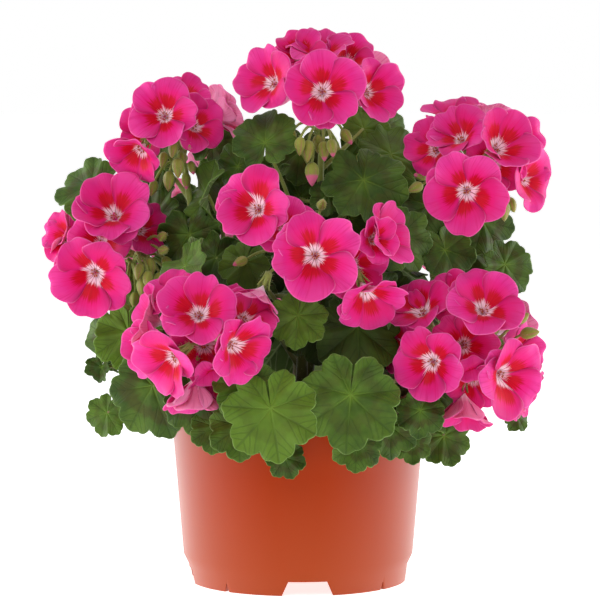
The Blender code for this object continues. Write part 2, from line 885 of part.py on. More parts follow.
def wedge(name, angle, bottom_half, top_half, top, inner, outer):
    """Cutter across the foot ring, narrower at its top."""
    outward = Vector((math.cos(angle), math.sin(angle), 0.0))
    across = Vector((-outward.y, outward.x, 0.0))
    corners = []
    below = -2.0
    places = ((-1, below, bottom_half), (1, below, bottom_half), (1, top, top_half), (-1, top, top_half))
    for reach in (inner, outer):
        for side, height, half in places:
            corners.append(outward * reach + across * (side * half) + Vector((0, 0, height)))
    faces = [(3, 2, 1, 0), (4, 5, 6, 7), (0, 1, 5, 4), (1, 2, 6, 5), (2, 3, 7, 6), (3, 0, 4, 7)]
    cutter = bpy.data.objects.new(name, new_mesh(name, corners, faces))
    work = bmesh.new()
    work.from_mesh(cutter.data)
    bmesh.ops.recalc_face_normals(work, faces=work.faces)
    work.to_mesh(cutter.data)
    work.free()
    bpy.context.scene.collection.objects.link(cutter)
    return cutter


def build_pot(room):
    """Tapered pot with a lip, a step above its base band and a ring of feet."""
    inner_foot = POT_FOOT_RADIUS - POT_FOOT_WALL
    profile = [
        (0.0, POT_FLOOR_TOP),
        (wall_radius(POT_FLOOR_TOP) - POT_WALL - 0.6, POT_FLOOR_TOP),
        (POT_RIM_RADIUS - POT_WALL, POT_HEIGHT),
        (POT_RIM_RADIUS + POT_LIP, POT_HEIGHT),
        (POT_RIM_RADIUS + POT_LIP - 0.4, POT_HEIGHT - POT_LIP_HEIGHT),
        (wall_radius(POT_HEIGHT - POT_LIP_HEIGHT - 0.5), POT_HEIGHT - POT_LIP_HEIGHT - 0.5),
        (wall_radius(POT_BAND_TOP + POT_CHAMFER), POT_BAND_TOP + POT_CHAMFER),
        (POT_BAND_RADIUS, POT_BAND_TOP - 0.4),
        (POT_FOOT_RADIUS, 0.0),
        (inner_foot, 0.0),
        (inner_foot - 0.6, POT_FLOOR_UNDER),
        (0.0, POT_FLOOR_UNDER),
    ]
    points, faces = turned(profile[::-1], POT_SEGMENTS)
    faces = [tuple(reversed(face)) for face in faces]
    room.add("pot", [(points, faces)])
    pot = new_object("pot", new_mesh("pot", points, faces), "pot")
    cutters = []
    for quarter in range(4):
        angle = FOOT_TURN - math.pi / 2 + quarter * math.pi / 2
        half = FOOT_GAP_WIDTH / 2
        cutters.append(wedge("gap", angle, half, half - FOOT_GAP_SLANT, POT_FLOOR_UNDER + 0.01, 48.0, 62.0))
        notch = angle + math.pi / 4
        cutters.append(wedge("notch", notch, NOTCH_WIDTH / 2, 0.3, NOTCH_HEIGHT, 48.0, 62.0))
    for k in range(DRAINS):
        angle = 2 * math.pi * k / DRAINS
        path = [
            Vector((DRAIN_CIRCLE * math.cos(angle), DRAIN_CIRCLE * math.sin(angle), height))
            for height in (POT_FLOOR_UNDER - 2.0, POT_FLOOR_TOP + 2.0)
        ]
        points, faces = tube(path, (DRAIN_RADIUS, DRAIN_RADIUS), 6)
        cutter = bpy.data.objects.new("drain", new_mesh("drain", points, faces))
        bpy.context.scene.collection.objects.link(cutter)
        cutters.append(cutter)
    cut(pot, cutters)
    pot.data.shade_smooth()
    pot.data.set_sharp_from_angle(angle=math.radians(30))
    return pot


def soil_plug():
    """Closed plug of potting soil with a domed, uneven top, before its holes are cut."""
    low = POT_FLOOR_TOP + SEAT_GAP
    top_inner = POT_RIM_RADIUS - POT_WALL
    low_inner = wall_radius(POT_FLOOR_TOP) - POT_WALL - 0.6
    share = (SOIL_TOP - POT_FLOOR_TOP) / (POT_HEIGHT - POT_FLOOR_TOP)
    rim = low_inner + (top_inner - low_inner) * share - WALL_GAP
    foot = low_inner - WALL_GAP
    profile = [(0.0, SOIL_TOP + SOIL_DOME)]
    profile.append((rim * SOIL_RING, SOIL_TOP + SOIL_DOME * (1 - SOIL_RING ** 2)))
    profile.append((rim, SOIL_TOP))
    profile.append((foot, low))
    profile.append((0.0, low))
    points, faces = turned(profile, SOIL_SEGMENTS)
    bumps = random.Random(SEED)
    for i in range(1, 1 + SOIL_SEGMENTS):
        points[i].z += bumps.uniform(-SOIL_BUMP, SOIL_BUMP)
    return points, faces


def build_soil(holes):
    """Soil with a plain hole where each stem stands."""
    soil = new_object("soil", new_mesh("soil", *soil_plug()), "soil")
    cutters = []
    reach = STEM_RADIUS + STEM_CLEARANCE
    for foot_point in holes:
        top = Vector((foot_point.x, foot_point.y, SOIL_TOP + 12.0))
        bottom = Vector((foot_point.x, foot_point.y, SOIL_TOP - STEM_DEPTH - SEAT_GAP))
        points, faces = tube([bottom, top], (reach, reach), STEM_SIDES)
        cutter = bpy.data.objects.new("hole", new_mesh("hole", points, faces))
        bpy.context.scene.collection.objects.link(cutter)
        cutters.append(cutter)
    cut(soil, cutters)
    return soil


def head_flowers(shoot_name):
    """Throat, facing, radius, petals and opening of each flower of a head."""
    rows = []
    if shoot_name in SHOOTS:
        for flower in SHOOTS[shoot_name].flowers:
            throat = seen(flower.across, flower.down, flower.depth)
            axis = facing(flower.turn, flower.tilt)
            rows.append((throat, axis, flower.radius, flower.petals, flower.opening))
        return rows
    foot, hub, way, count = REAR_HEADS[shoot_name]
    hub = Vector(hub)
    way = Vector(way).normalized()
    side = square_to(way, Vector((0.0, 0.0, 1.0)))
    across = way.cross(side)
    first, other = REAR_OPENINGS
    rows.append((hub + way * REAR_STALK, way, REAR_FLOWER_RADIUS, OUTER_PETALS + 1, first))
    for k in range(count - 1):
        angle = 2 * math.pi * (k + 0.25) / (count - 1)
        spoke = side * math.cos(angle) + across * math.sin(angle)
        axis = (way * math.cos(REAR_SPREAD) + spoke * math.sin(REAR_SPREAD)).normalized()
        radius = REAR_FLOWER_RADIUS * REAR_SMALLER
        rows.append((hub + axis * REAR_STALK, axis, radius, OUTER_PETALS, other))
    return rows


def head_hub(name):
    """Middle of a head, where all its stalks meet."""
    if name in SHOOTS:
        return seen(*SHOOTS[name].hub)
    return Vector(REAR_HEADS[name][1])


def head_solids(name, room):
    """Hub, stalks and flowers of one head, each flower turned clear of the others."""
    draw = random.Random(name)
    node = "head_" + name
    hub = head_hub(name)
    ball = [(-HUB_RADIUS * 0.5, 0.0), (0.0, HUB_RADIUS), (HUB_RADIUS * 0.8, 0.0)]
    solids = [spindle(hub, Vector((0.0, 0.0, 1.0)), ball, 6)]
    for throat, axis, radius, petals, opening in head_flowers(name):
        state = draw.getrandbits(30)
        best = None
        for push, turn, rise in FLOWER_TRIES:
            way = (throat - hub).normalized()
            place = throat + way * push
            aim = leant(axis, turn, rise)
            dice = random.Random(state)
            near = place - aim * (CALYX_LENGTH + 4.0)
            fat = flower_solids(near, place, aim, radius, OUTER_PETALS, opening, dice, CLEAR)
            hits = sum(room.touches("none", solid, only_blades=True) for solid in fat)
            if best is None or hits < best[0]:
                best = (hits, place, aim)
            if hits == 0:
                break
        hits, place, aim = best
        flower = flower_solids(hub, place, aim, radius, petals, opening, random.Random(state))
        near = place - aim * (CALYX_LENGTH + 4.0)
        short = flower_solids(near, place, aim, radius, petals, opening, random.Random(state))
        room.add(node, short, blade=True)
        room.add(node, flower[:1])
        solids.extend(flower)
    room.add(node, solids[:1])
    return solids


def leant(axis, turn, rise):
    """Direction turned to the side and raised by angles in degrees."""
    side = Vector((-axis.y, axis.x, 0.0))
    side = side.normalized() if side.length > 0.05 else Vector((1.0, 0.0, 0.0))
    aim = Matrix.Rotation(math.radians(turn), 3, "Z") @ axis
    return (Matrix.Rotation(math.radians(rise), 3, -side) @ aim).normalized()


def shoot_foot(name):
    """Where a stem stands, on the soil's mean level."""
    foot = SHOOTS[name].foot if name in SHOOTS else REAR_HEADS[name][0]
    return Vector((foot[0], foot[1], SOIL_TOP))


def stem_path(name, side_bend):
    """Root in the soil, upright foot, and a bowed way up to the head's middle."""
    foot = shoot_foot(name)
    hub = head_hub(name)
    end = hub - Vector((0.0, 0.0, HUB_RADIUS * 0.5 + SEAT_GAP + 0.9))
    out = Vector((hub.x - foot.x, hub.y - foot.y, 0.0))
    lower = foot + Vector((0.0, 0.0, STEM_UPRIGHT))
    rise = max(hub.z - foot.z, 20.0)
    middle = foot + out * 0.72 + Vector((0.0, 0.0, rise * 0.42))
    middle = middle + Vector((-out.y, out.x, 0.0)).normalized() * side_bend if out.length > 1 else middle
    path = [foot - Vector((0.0, 0.0, STEM_DEPTH)), lower]
    path.extend(bow(lower, end, middle, 5)[1:])
    return path


def main():
    """Builds every node."""
    for item in list(bpy.data.objects):
        bpy.data.objects.remove(item)
    room = Room()
    build_pot(room)
    names = list(SHOOTS) + list(REAR_HEADS)
    green = {}
    pink = {}
    stems = {}
    for name in names:
        pink[name] = head_solids(name, room)
    for name in names:
        best = None
        for bend in STEM_BENDS:
            path = stem_path(name, bend)
            fat = tube(path, [r + CLEAR for r in STEM_RADII], STEM_SIDES)
            hits = room.touches("shoot_" + name, fat)
            if best is None or hits < best[0]:
                best = (hits, path)
            if hits == 0:
                break
        hits, path = best
        stems[name] = path
        green[name] = [tube(path, STEM_RADII, STEM_SIDES)]
        room.add("shoot_" + name, green[name])
    room.add("soil", [soil_plug()])
    build_buds(room, green)
    build_leaves(room, green, stems)
    for name in names:
        fuse("head_" + name, pink[name], "head")
        fuse("shoot_" + name, green[name], "shoot")
    build_soil([shoot_foot(name) for name in names])


def build_buds(room, green):
    """Bracts under each head, and its buds on curved stalks."""
    for name, shoot in SHOOTS.items():
        node = "shoot_" + name
        hub = head_hub(name)
        collar = hub - Vector((0.0, 0.0, HUB_RADIUS * 0.5 + SEAT_GAP + 1.0))
        for extra in BRACT_REACHES:
            ring = [(-2.4, 0.0), (-0.6, HUB_RADIUS + extra), (0.5, 0.0)]
            bract = spindle(collar, Vector((0.0, 0.0, 1.0)), ring, 6)
            if room.touches(node, bract) == 0:
                green[name].append(bract)
                room.add(node, [bract])
                break
        for bud in shoot.buds:
            best = None
            for shift in BUD_SHIFTS:
                middle = seen(bud.across, bud.down, bud.depth + shift)
                axis = facing(bud.turn, bud.tilt)
                start = middle - axis * (bud.length / 2)
                for lift in BUD_LIFTS:
                    reach = start - collar
                    knee = collar + reach * 0.55 + Vector((0.0, 0.0, lift))
                    beside = Vector((reach.x, reach.y, 0.0)).normalized() * BUD_ROOT
                    below = collar + beside - Vector((0.0, 0.0, 0.9))
                    fat = bud_solid(below, knee, start, axis, bud.length, CLEAR)
                    hits = room.touches(node, fat)
                    if best is None or hits < best[0]:
                        best = (hits, [bud_solid(below, knee, start, axis, bud.length)])
                    if hits == 0:
                        break
                if best[0] == 0:
                    break
            if best[0] == 0:
                green[name].extend(best[1])
                room.add(node, best[1], blade=True)


def leaf_rows(stems):
    """Owner, middle, facing, tip direction, radius and fold of every leaf."""
    rows = []
    for name, shoot in SHOOTS.items():
        for leaf in shoot.leaves:
            middle = seen(leaf.across, leaf.down, leaf.depth)
            normal = facing(leaf.turn, leaf.tilt)
            tip = math.radians(leaf.tip)
            hint = Vector((math.cos(tip), 0.0, math.sin(tip)))
            away = (middle - eye_point()).normalized()
            rows.append((name, middle, normal, hint, leaf.radius, leaf.fold, away))
    draw = random.Random(SEED)
    lowest, highest = REAR_LEVELS
    for k in range(REAR_LEAVES):
        turn = k * GOLDEN_TURN
        spread = math.pi * (((turn / math.pi) % 2) - 1) / REAR_NARROWING
        level = lowest + (highest - lowest) * (k + 0.5) / REAR_LEAVES
        azimuth = math.pi / 2 + spread
        flat = math.sqrt(max(0.0, 1 - (level * 0.95) ** 2))
        way = Vector((math.cos(azimuth) * flat, math.sin(azimuth) * flat, level))
        middle = DOME_CENTRE + Vector((way.x * DOME_WIDTH, way.y * DOME_WIDTH, way.z * DOME_HEIGHT))
        radius = draw.uniform(*REAR_LEAF_RADIUS)
        normal = (way + Vector((0.0, 0.0, 0.35))).normalized()
        hint = Vector((way.x * 0.3 + draw.uniform(-0.5, 0.5), way.y * 0.3, -1.0))
        owner = nearest_stem(middle, stems)
        rows.append((owner, middle, normal, hint, radius, 0.0, -normal))
    for side in (-1, 1):
        for k, level in enumerate(SIDE_LEVELS):
            azimuth = math.radians(SIDE_TURNS[0] + SIDE_TURNS[1] * k)
            flat = math.sqrt(1 - level ** 2)
            way = Vector((side * math.cos(azimuth) * flat, math.sin(azimuth) * flat, level))
            middle = DOME_CENTRE + Vector((way.x * SIDE_WIDTH, way.y * SIDE_WIDTH, way.z * DOME_HEIGHT))
            normal = (way + Vector((side * 0.4, 0.0, 0.3))).normalized()
            hint = Vector((way.x * 0.2, draw.uniform(-0.5, 0.3), -1.0))
            owner = nearest_stem(middle, stems)
            rows.append((owner, middle, normal, hint, SIDE_LEAF_RADIUS, 0.0, -normal))
    return rows


def along(path, place):
    """Point at a fractional place along a path's points."""
    place = min(max(place, 2.0), len(path) - 1.6)
    first = int(place)
    return path[first].lerp(path[first + 1], place - first)


def nearest_stem(point, stems):
    """Name of the stem that passes closest to a point."""
    best = None
    for name, path in stems.items():
        for place in path[2:]:
            gap = (place - point).length
            if best is None or gap < best[0]:
                best = (gap, name)
    return best[1]


def leaf_tries(row, shape):
    """Poses of a leaf to try: shifted along its way back, then leant."""
    name, middle, normal, hint, radius, fold, away = row
    for lean in LEAF_LEANS:
        aim = leant(normal, *lean)
        midrib = square_to(aim, hint)
        for shift in LEAF_SHIFTS:
            attach = middle + away * shift - midrib * (radius * 0.16)
            yield attach, aim, midrib


def petiole_tries(path, first, end, normal):
    """Routes of a leaf's stalk to try, from places along its stem."""
    for rung in (0, 0.8, -0.8, 1.6, -1.6, 2.4):
        start = along(path, first + rung)
        out = end - start
        aside = out.cross(Vector((0.0, 0.0, 1.0))) * 0.22
        for bend, swing in ((0.15, 0), (0.3, 0), (0.03, 0), (0.15, 1), (0.15, -1)):
            knee = start + out * 0.6 + Vector((0.0, 0.0, out.length * bend))
            knee = knee - normal * (out.length * 0.18) + aside * swing
            yield bow(start, end, knee, 2)


def grow_leaf(room, row, shape, path, first, own):
    """Stalk and blade of a leaf in the first pose that touches nothing, or None."""
    node = "shoot_" + row[0]
    radius = row[4]
    fat_radii = [r + CLEAR for r in PETIOLE_RADII]
    for attach, normal, midrib in leaf_tries(row, shape):
        blade = leaf_solid(attach, normal, midrib, radius, shape, CLEAR)
        if room.touches(node, blade, own):
            continue
        end = petiole_end(attach, normal, midrib, radius, shape)
        for route in petiole_tries(path, first, end, normal):
            if room.touches(node, tube(route, fat_radii, 3), own) == 0:
                stalk = tube(route, PETIOLE_RADII, 3)
                return [stalk, leaf_solid(attach, normal, midrib, radius, shape)]
    return None


def build_leaves(room, green, stems):
    """Grows every leaf on a stalk from its stem, bent clear of other shoots."""
    draw = random.Random(SEED + 1)
    used = {name: 0 for name in stems}
    for row in leaf_rows(stems):
        name = row[0]
        cup = draw.uniform(-0.05, 0.16)
        wave = draw.uniform(0.05, 0.11)
        shape = (cup, wave, row[5], draw.uniform(0.0, 2 * math.pi))
        first = 3.1 + 0.37 * (used[name] % 9)
        grown = grow_leaf(room, row, shape, stems[name], first, True)
        if grown is None:
            grown = grow_leaf(room, row, shape, stems[name], first, False)
        if grown is None:
            continue
        used[name] += 1
        green[name].extend(grown)
        room.add("shoot_" + name, grown, blade=True)


main()
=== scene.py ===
"""A potted zonal geranium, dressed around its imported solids.

The plant is grown by the same rules as its solids: heads, stems, buds and leaves are
placed one after the other, each bent clear of what stands already. Each is then
modelled finely, as ruffled petals, veined leaves, hairy stalks and a moulded pot.
Lengths are in millimetres until a mesh is made, which is in metres, +Z up, front -Y.
"""

import logging
import math
import random
from dataclasses import dataclass, field
from enum import Enum
from typing import Iterator, Sequence

import bpy
import numpy as np
from mathutils import Matrix, Vector, noise
from mathutils.bvhtree import BVHTree

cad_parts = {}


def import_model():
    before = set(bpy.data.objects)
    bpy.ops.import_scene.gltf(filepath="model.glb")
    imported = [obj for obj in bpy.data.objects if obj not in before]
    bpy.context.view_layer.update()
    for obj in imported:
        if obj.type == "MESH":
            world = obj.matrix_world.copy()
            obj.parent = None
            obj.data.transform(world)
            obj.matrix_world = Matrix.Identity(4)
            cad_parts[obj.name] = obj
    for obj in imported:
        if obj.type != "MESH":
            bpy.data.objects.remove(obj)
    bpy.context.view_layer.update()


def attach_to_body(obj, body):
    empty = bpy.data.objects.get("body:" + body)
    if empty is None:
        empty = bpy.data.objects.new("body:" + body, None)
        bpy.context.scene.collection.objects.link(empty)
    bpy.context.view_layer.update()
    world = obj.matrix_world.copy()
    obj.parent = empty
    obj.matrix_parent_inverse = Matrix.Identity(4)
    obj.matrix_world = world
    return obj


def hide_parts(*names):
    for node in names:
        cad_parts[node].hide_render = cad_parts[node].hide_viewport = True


logging.basicConfig(level=logging.INFO, format="%(message)s")
LOG = logging.getLogger("geranium")

MM = 0.001
UP = Vector((0.0, 0.0, 1.0))

Solid = tuple[list[Vector], list[tuple[int, ...]]]
Route = list[Vector]
Shape = tuple[float, float, float, float]


class Slot(Enum):
    """Names of the material slots."""

    POT = "pot"
    SOIL = "soil"
    FOLIAGE = "foliage"
    PETALS = "petals"


# Sizes of the plant


@dataclass(frozen=True)
class PotSizes:
    """Sizes of the pot in mm."""

    height: float = 98.0
    rim_radius: float = 66.3
    taper: float = 0.084
    wall: float = 1.5
    lip: float = 2.4
    lip_height: float = 9.0
    band_top: float = 9.0
    chamfer: float = 5.0
    band_radius: float = 56.6
    foot_radius: float = 55.6
    foot_wall: float = 2.6
    floor_under: float = 7.2
    floor_top: float = 9.0
    gap_width: float = 30.0
    gap_slant: float = 5.2
    notch_width: float = 5.6
    notch_height: float = 4.0
    foot_turn: float = math.radians(5.0)
    drain_radius: float = 4.0
    drain_circle: float = 38.0
    drains: int = 6
    coarse_steps: int = 28
    fine_steps: int = 128

    def wall_radius(self, height: float) -> float:
        """Outer radius of the wall at a height."""
        return self.rim_radius - (self.height - height) * self.taper

    def profile(self) -> list[tuple[float, float]]:
        """Radius and height of each corner, from the inner floor out to the foot's floor."""
        under_lip = self.height - self.lip_height
        inner_foot = self.foot_radius - self.foot_wall
        return [
            (0.0, self.floor_top),
            (self.wall_radius(self.floor_top) - self.wall - 0.6, self.floor_top),
            (self.rim_radius - self.wall, self.height),
            (self.rim_radius + self.lip, self.height),
            (self.rim_radius + self.lip - 0.4, under_lip),
            (self.wall_radius(under_lip - 0.5), under_lip - 0.5),
            (self.wall_radius(self.band_top + self.chamfer), self.band_top + self.chamfer),
            (self.band_radius, self.band_top - 0.4),
            (self.foot_radius, 0.0),
            (inner_foot, 0.0),
            (inner_foot - 0.6, self.floor_under),
            (0.0, self.floor_under),
        ]


@dataclass(frozen=True)
class SoilSizes:
    """Sizes of the soil in mm."""

    top: float = 88.0
    dome: float = 3.0
    steps: int = 20
    bump: float = 1.1
    ring: float = 0.6
    seat_gap: float = 0.3
    wall_gap: float = 0.55


@dataclass(frozen=True)
class ShootSizes:
    """Sizes of stems, stalks and buds in mm."""

    stem_depth: float = 22.0
    upright: float = 7.0
    sides: int = 5
    radii: tuple[float, ...] = (3.6, 3.6, 3.1, 2.6, 2.1, 1.7, 1.7)
    bends: tuple[float, ...] = (0, 6, -6, 12, -12, 18, -18, 26, -26)
    petiole: tuple[float, ...] = (1.3, 1.1, 0.5)
    pedicel: float = 1.0
    hub: float = 3.4
    bract_reaches: tuple[float, ...] = (0.8, 0.2, -0.4, -1.0)
    bud_sides: int = 3
    bud_stalk: float = 0.9
    bud_root: float = 2.6
    bud_shifts: tuple[float, ...] = (0, -4, 4, -8, 8, -12, 12, -16, 16)
    bud_lifts: tuple[float, ...] = (10, 4, 16, -3, 22)


@dataclass(frozen=True)
class FlowerSizes:
    """Sizes of one flower in mm, and its angles in degrees."""

    thickness: float = 1.1
    calyx_length: float = 8.0
    calyx_radius: float = 3.3
    sunk: float = 1.4
    outer: int = 5
    rise: float = 24.0
    inner_rise: float = 8.0
    inner_lift: float = 2.0
    curl: float = 0.22
    roll: float = 0.15
    half: float = 0.5
    notch: float = 0.40
    inner_length: float = 0.76
    inner_opening: float = 32.0


@dataclass(frozen=True)
class LeafSizes:
    """Sizes of one leaf in mm, and its angles."""

    thickness: float = 1.2
    lobes: int = 7
    ring: int = 3
    ring_share: float = 0.5
    ring_span: float = 0.80
    reach: float = 0.4
    sinus: float = math.radians(12.0)
    lobe_depth: float = 0.10


POT = PotSizes()
SOIL = SoilSizes()
SHOOT = ShootSizes()
BLOOM = FlowerSizes()
LEAF = LeafSizes()

CLEAR = 0.45
SEED = 11
LEAF_SHIFTS = (0, 3, -3, 6, -6, 10, -10, 14, 18, 22)
LEAF_LEANS = ((0, 0), (10, 0), (-10, 0), (0, 12), (0, -12), (20, 8), (-20, 8))
FLOWER_TRIES = [
    (push, turn, rise)
    for push in (0, 2, -2, 4, 6, -4, 8)
    for turn in (0, 8, -8, 16, -16)
    for rise in (0, 8, -8, 16, -16)
]


# Where everything grows


@dataclass
class Flower:
    """One open flower: throat across and down the picture, and depth in mm."""

    across: float
    down: float
    depth: float
    radius: float
    turn: float
    tilt: float
    petals: int = 6
    opening: float = 88.0


@dataclass
class Leaf:
    """One leaf: middle across and down the picture, depth in mm, and pose in degrees."""

    across: float
    down: float
    depth: float
    radius: float
    turn: float
    tilt: float
    tip: float
    fold: float = 0.0


@dataclass
class Bud:
    """One bud: middle across and down the picture, depth, length and lean in degrees."""

    across: float
    down: float
    depth: float
    length: float = 11.0
    turn: float = 0.0
    tilt: float = -60.0


@dataclass
class Shoot:
    """A stem with its flower head: foot on the soil, and the head's middle."""

    foot: tuple
    hub: tuple
    flowers: list = field(default_factory=list)
    buds: list = field(default_factory=list)
    leaves: list = field(default_factory=list)


SHOOTS = {
    "crown": Shoot(
        foot=(4.0, 12.0),
        hub=(322, 128, 2.0),
        flowers=[
            Flower(322, 93, -26, 21.5, 3, 10, 7),
            Flower(279, 86, -8, 19.5, -42, 16, 6),
            Flower(360, 93, -6, 18.0, 46, 6, 6, 80),
            Flower(321, 66, 12, 18.5, -5, 66, 6),
            Flower(296, 84, 30, 19.0, 205, 24, 5),
            Flower(352, 84, 32, 19.0, 150, 18, 5),
        ],
        buds=[
            Bud(291, 139, -12, 10, -30, -70),
            Bud(308, 151, -16, 12, -10, -75),
            Bud(324, 151, -14, 11, 10, -75),
            Bud(312, 174, -14, 13, 0, -80),
            Bud(338, 156, -10, 11, 30, -65),
            Bud(347, 137, -8, 10, 50, -50),
        ],
        leaves=[
            Leaf(265, 138, -6, 17.5, -12, 28, 95),
            Leaf(236, 164, -2, 12, -20, 15, 130),
            Leaf(395, 152, 10, 20, 22, 42, 45),
            Leaf(366, 186, -16, 22, 8, 24, -75),
            Leaf(328, 197, -12, 10, 0, 20, -95),
            Leaf(300, 205, 2, 22, -4, 10, -90),
            Leaf(300, 156, 10, 16, -6, 20, -95),
            Leaf(344, 163, 12, 17, 8, 20, -80),
            Leaf(366, 126, 18, 14, 12, 30, 50),
        ],
    ),
    "upper_left": Shoot(
        foot=(-24.0, 14.0),
        hub=(184, 158, 4.0),
        flowers=[
            Flower(166, 118, -14, 19.2, -8, 14, 6),
            Flower(145, 144, -20, 16.5, -34, -22, 5, 78),
            Flower(209, 122, 8, 18, 112, 25, 6),
            Flower(172, 126, 30, 18.5, 200, 22, 5),
        ],
        buds=[
            Bud(173, 150, -12, 9, -20, -70),
            Bud(188, 145, -10, 8, 20, -40),
            Bud(178, 168, -12, 11, 0, -80),
            Bud(169, 181, -8, 11, -20, -80),
            Bud(153, 188, -4, 9, -40, -70),
        ],
        leaves=[
            Leaf(208, 190, -8, 16, -68, 10, 95, 0.4),
            Leaf(190, 240, -6, 17.5, -14, 6, -80),
            Leaf(222, 205, 16, 20, -10, 30, 100),
            Leaf(150, 215, 22, 19, -40, 20, 160),
            Leaf(214, 140, 16, 14, -8, 20, 70),
        ],
    ),
    "left": Shoot(
        foot=(-40.0, -6.0),
        hub=(132, 254, -2.0),
        flowers=[
            Flower(116, 221, -18, 22, -6, 42, 7),
            Flower(97, 271, -28, 22.5, -10, -4, 6),
            Flower(86, 232, 8, 17.5, -82, 22, 6),
            Flower(112, 236, 26, 20, 205, 18, 5),
        ],
        buds=[
            Bud(163, 236, -14, 9, 20, 20),
            Bud(150, 268, -14, 11, 10, -75),
            Bud(160, 283, -12, 12, 20, -80),
            Bud(143, 288, -14, 12, -5, -85),
            Bud(168, 264, -8, 10, 40, -40),
            Bud(125, 316, -14, 13, -5, -85),
        ],
        leaves=[
            Leaf(87, 188, 2, 18, -28, 36, 190),
            Leaf(105, 340, 4, 17.5, -66, 0, -95, 0.15),
            Leaf(128, 338, -10, 18.5, -16, 4, -95),
            Leaf(101, 369, -4, 7.5, -30, 10, -110, 0.5),
            Leaf(168, 305, 6, 22, -16, 6, -100),
        ],
    ),
    "centre": Shoot(
        foot=(2.0, -22.0),
        hub=(302, 256, -50.0),
        flowers=[
            Flower(315, 256, -82, 23.5, 2, 4, 6),
            Flower(261, 211, -64, 21, -20, 14, 6),
            Flower(370, 241, -58, 17.5, 58, 18, 5, 75),
            Flower(362, 283, -68, 19, 30, -44, 6, 74),
            Flower(263, 286, -68, 15, -34, -50, 5, 62),
        ],
        buds=[
            Bud(240, 262, -46, 9, -60, -20),
            Bud(322, 204, -48, 9, 10, 30),
        ],
        leaves=[
            Leaf(402, 241, -26, 17.5, 18, 14, -60),
            Leaf(244, 266, -44, 13.5, -12, 12, -110),
            Leaf(298, 320, -70, 15, -6, 14, -95),
            Leaf(358, 334, -64, 23, 8, 18, -90),
            Leaf(340, 300, -30, 22, 6, 10, -80),
            Leaf(246, 312, -26, 20, -8, 8, -110),
        ],
    ),
    "upper_right": Shoot(
        foot=(27.0, 12.0),
        hub=(480, 172, -4.0),
        flowers=[
            Flower(467, 190, -36, 22.5, -6, -2, 6),
            Flower(464, 145, -18, 18, -30, 42, 6),
            Flower(492, 153, -28, 18.5, 14, 20, 5, 66),
            Flower(515, 179, -14, 18.0, 52, 2, 6),
            Flower(453, 128, 8, 17, -25, 72, 5),
            Flower(488, 140, 22, 18.5, 175, 32, 5),
        ],
        buds=[
            Bud(415, 188, -6, 10, -60, -20),
            Bud(504, 211, -14, 11, 10, -80),
            Bud(440, 212, -6, 9, -30, -70),
        ],
        leaves=[
            Leaf(447, 254, -20, 15, 10, 22, -70),
            Leaf(508, 268, -6, 15.5, 26, 12, -45),
            Leaf(430, 200, 14, 20, 10, 26, 60),
            Leaf(470, 250, 14, 19, 30, 20, -20),
        ],
    ),
    "lower_left": Shoot(
        foot=(-24.0, -28.0),
        hub=(205, 345, -60.0),
        flowers=[
            Flower(200, 319, -88, 20.5, -6, 28, 6),
            Flower(226, 342, -94, 19, 26, 0, 6),
            Flower(180, 353, -86, 19, -44, -16, 6),
            Flower(196, 374, -76, 16, -12, -76, 5, 58),
            Flower(165, 324, -60, 16.5, -78, 20, 5, 76),
            Flower(221, 311, -60, 13.5, 12, 62, 5, 76),
        ],
        buds=[
            Bud(216, 386, -66, 10, 20, -80),
            Bud(250, 356, -62, 9, 60, -50),
        ],
        leaves=[
            Leaf(155, 393, -44, 24, -14, 6, -70),
            Leaf(106, 416, -22, 11.5, -18, 6, -110),
            Leaf(214, 430, -64, 12.5, -6, 10, -95),
            Leaf(246, 388, -74, 16.5, -10, 16, -80),
            Leaf(272, 416, -84, 23.5, -6, 12, -80),
            Leaf(286, 460, -76, 10, 0, 8, -70),
        ],
    ),
    "lower_right": Shoot(
        foot=(28.0, -26.0),
        hub=(468, 352, -32.0),
        flowers=[
            Flower(426, 318, -48, 18, -34, 44, 6),
            Flower(482, 315, -56, 21.5, 6, 34, 6),
            Flower(435, 361, -60, 19.5, -18, -4, 6),
            Flower(494, 372, -58, 21.5, 40, -8, 6),
            Flower(463, 390, -46, 16, -8, -78, 5, 58),
            Flower(511, 386, -26, 14.5, 78, -28, 5, 76),
            Flower(496, 334, -2, 19, 130, 22, 5),
        ],
        buds=[
            Bud(530, 333, -34, 11, 60, 10),
            Bud(508, 288, -44, 9, 30, 60),
        ],
        leaves=[
            Leaf(420, 414, -58, 12.5, 8, 12, -95),
            Leaf(412, 444, -50, 10.5, 10, 6, -90),
            Leaf(445, 440, -42, 14, 14, 4, -75),
            Leaf(518, 417, -16, 8, 30, 6, -60),
            Leaf(350, 403, -84, 25, 4, 12, -95),
            Leaf(357, 447, -78, 13, 6, 6, -95),
            Leaf(400, 380, -40, 21, 14, 8, -90),
            Leaf(470, 375, -8, 20, 30, 10, -80),
        ],
    ),
}

# Rear heads: foot, middle, the way the head faces, flowers
REAR_HEADS = {
    "rear_left": ((-20.0, 34.0), (-52.0, 56.0, 176.0), (-0.55, 0.75, 0.35), 5),
    "rear_right": ((22.0, 34.0), (56.0, 58.0, 158.0), (0.5, 0.8, 0.25), 4),
    "rear_low": ((0.0, 44.0), (0.0, 70.0, 132.0), (0.05, 0.98, 0.1), 4),
}
REAR_FLOWER_RADIUS = 19.5
REAR_SMALLER = 0.94
REAR_OPENINGS = (86.0, 82.0)
REAR_SPREAD = math.radians(58.0)
REAR_STALK = 27.0

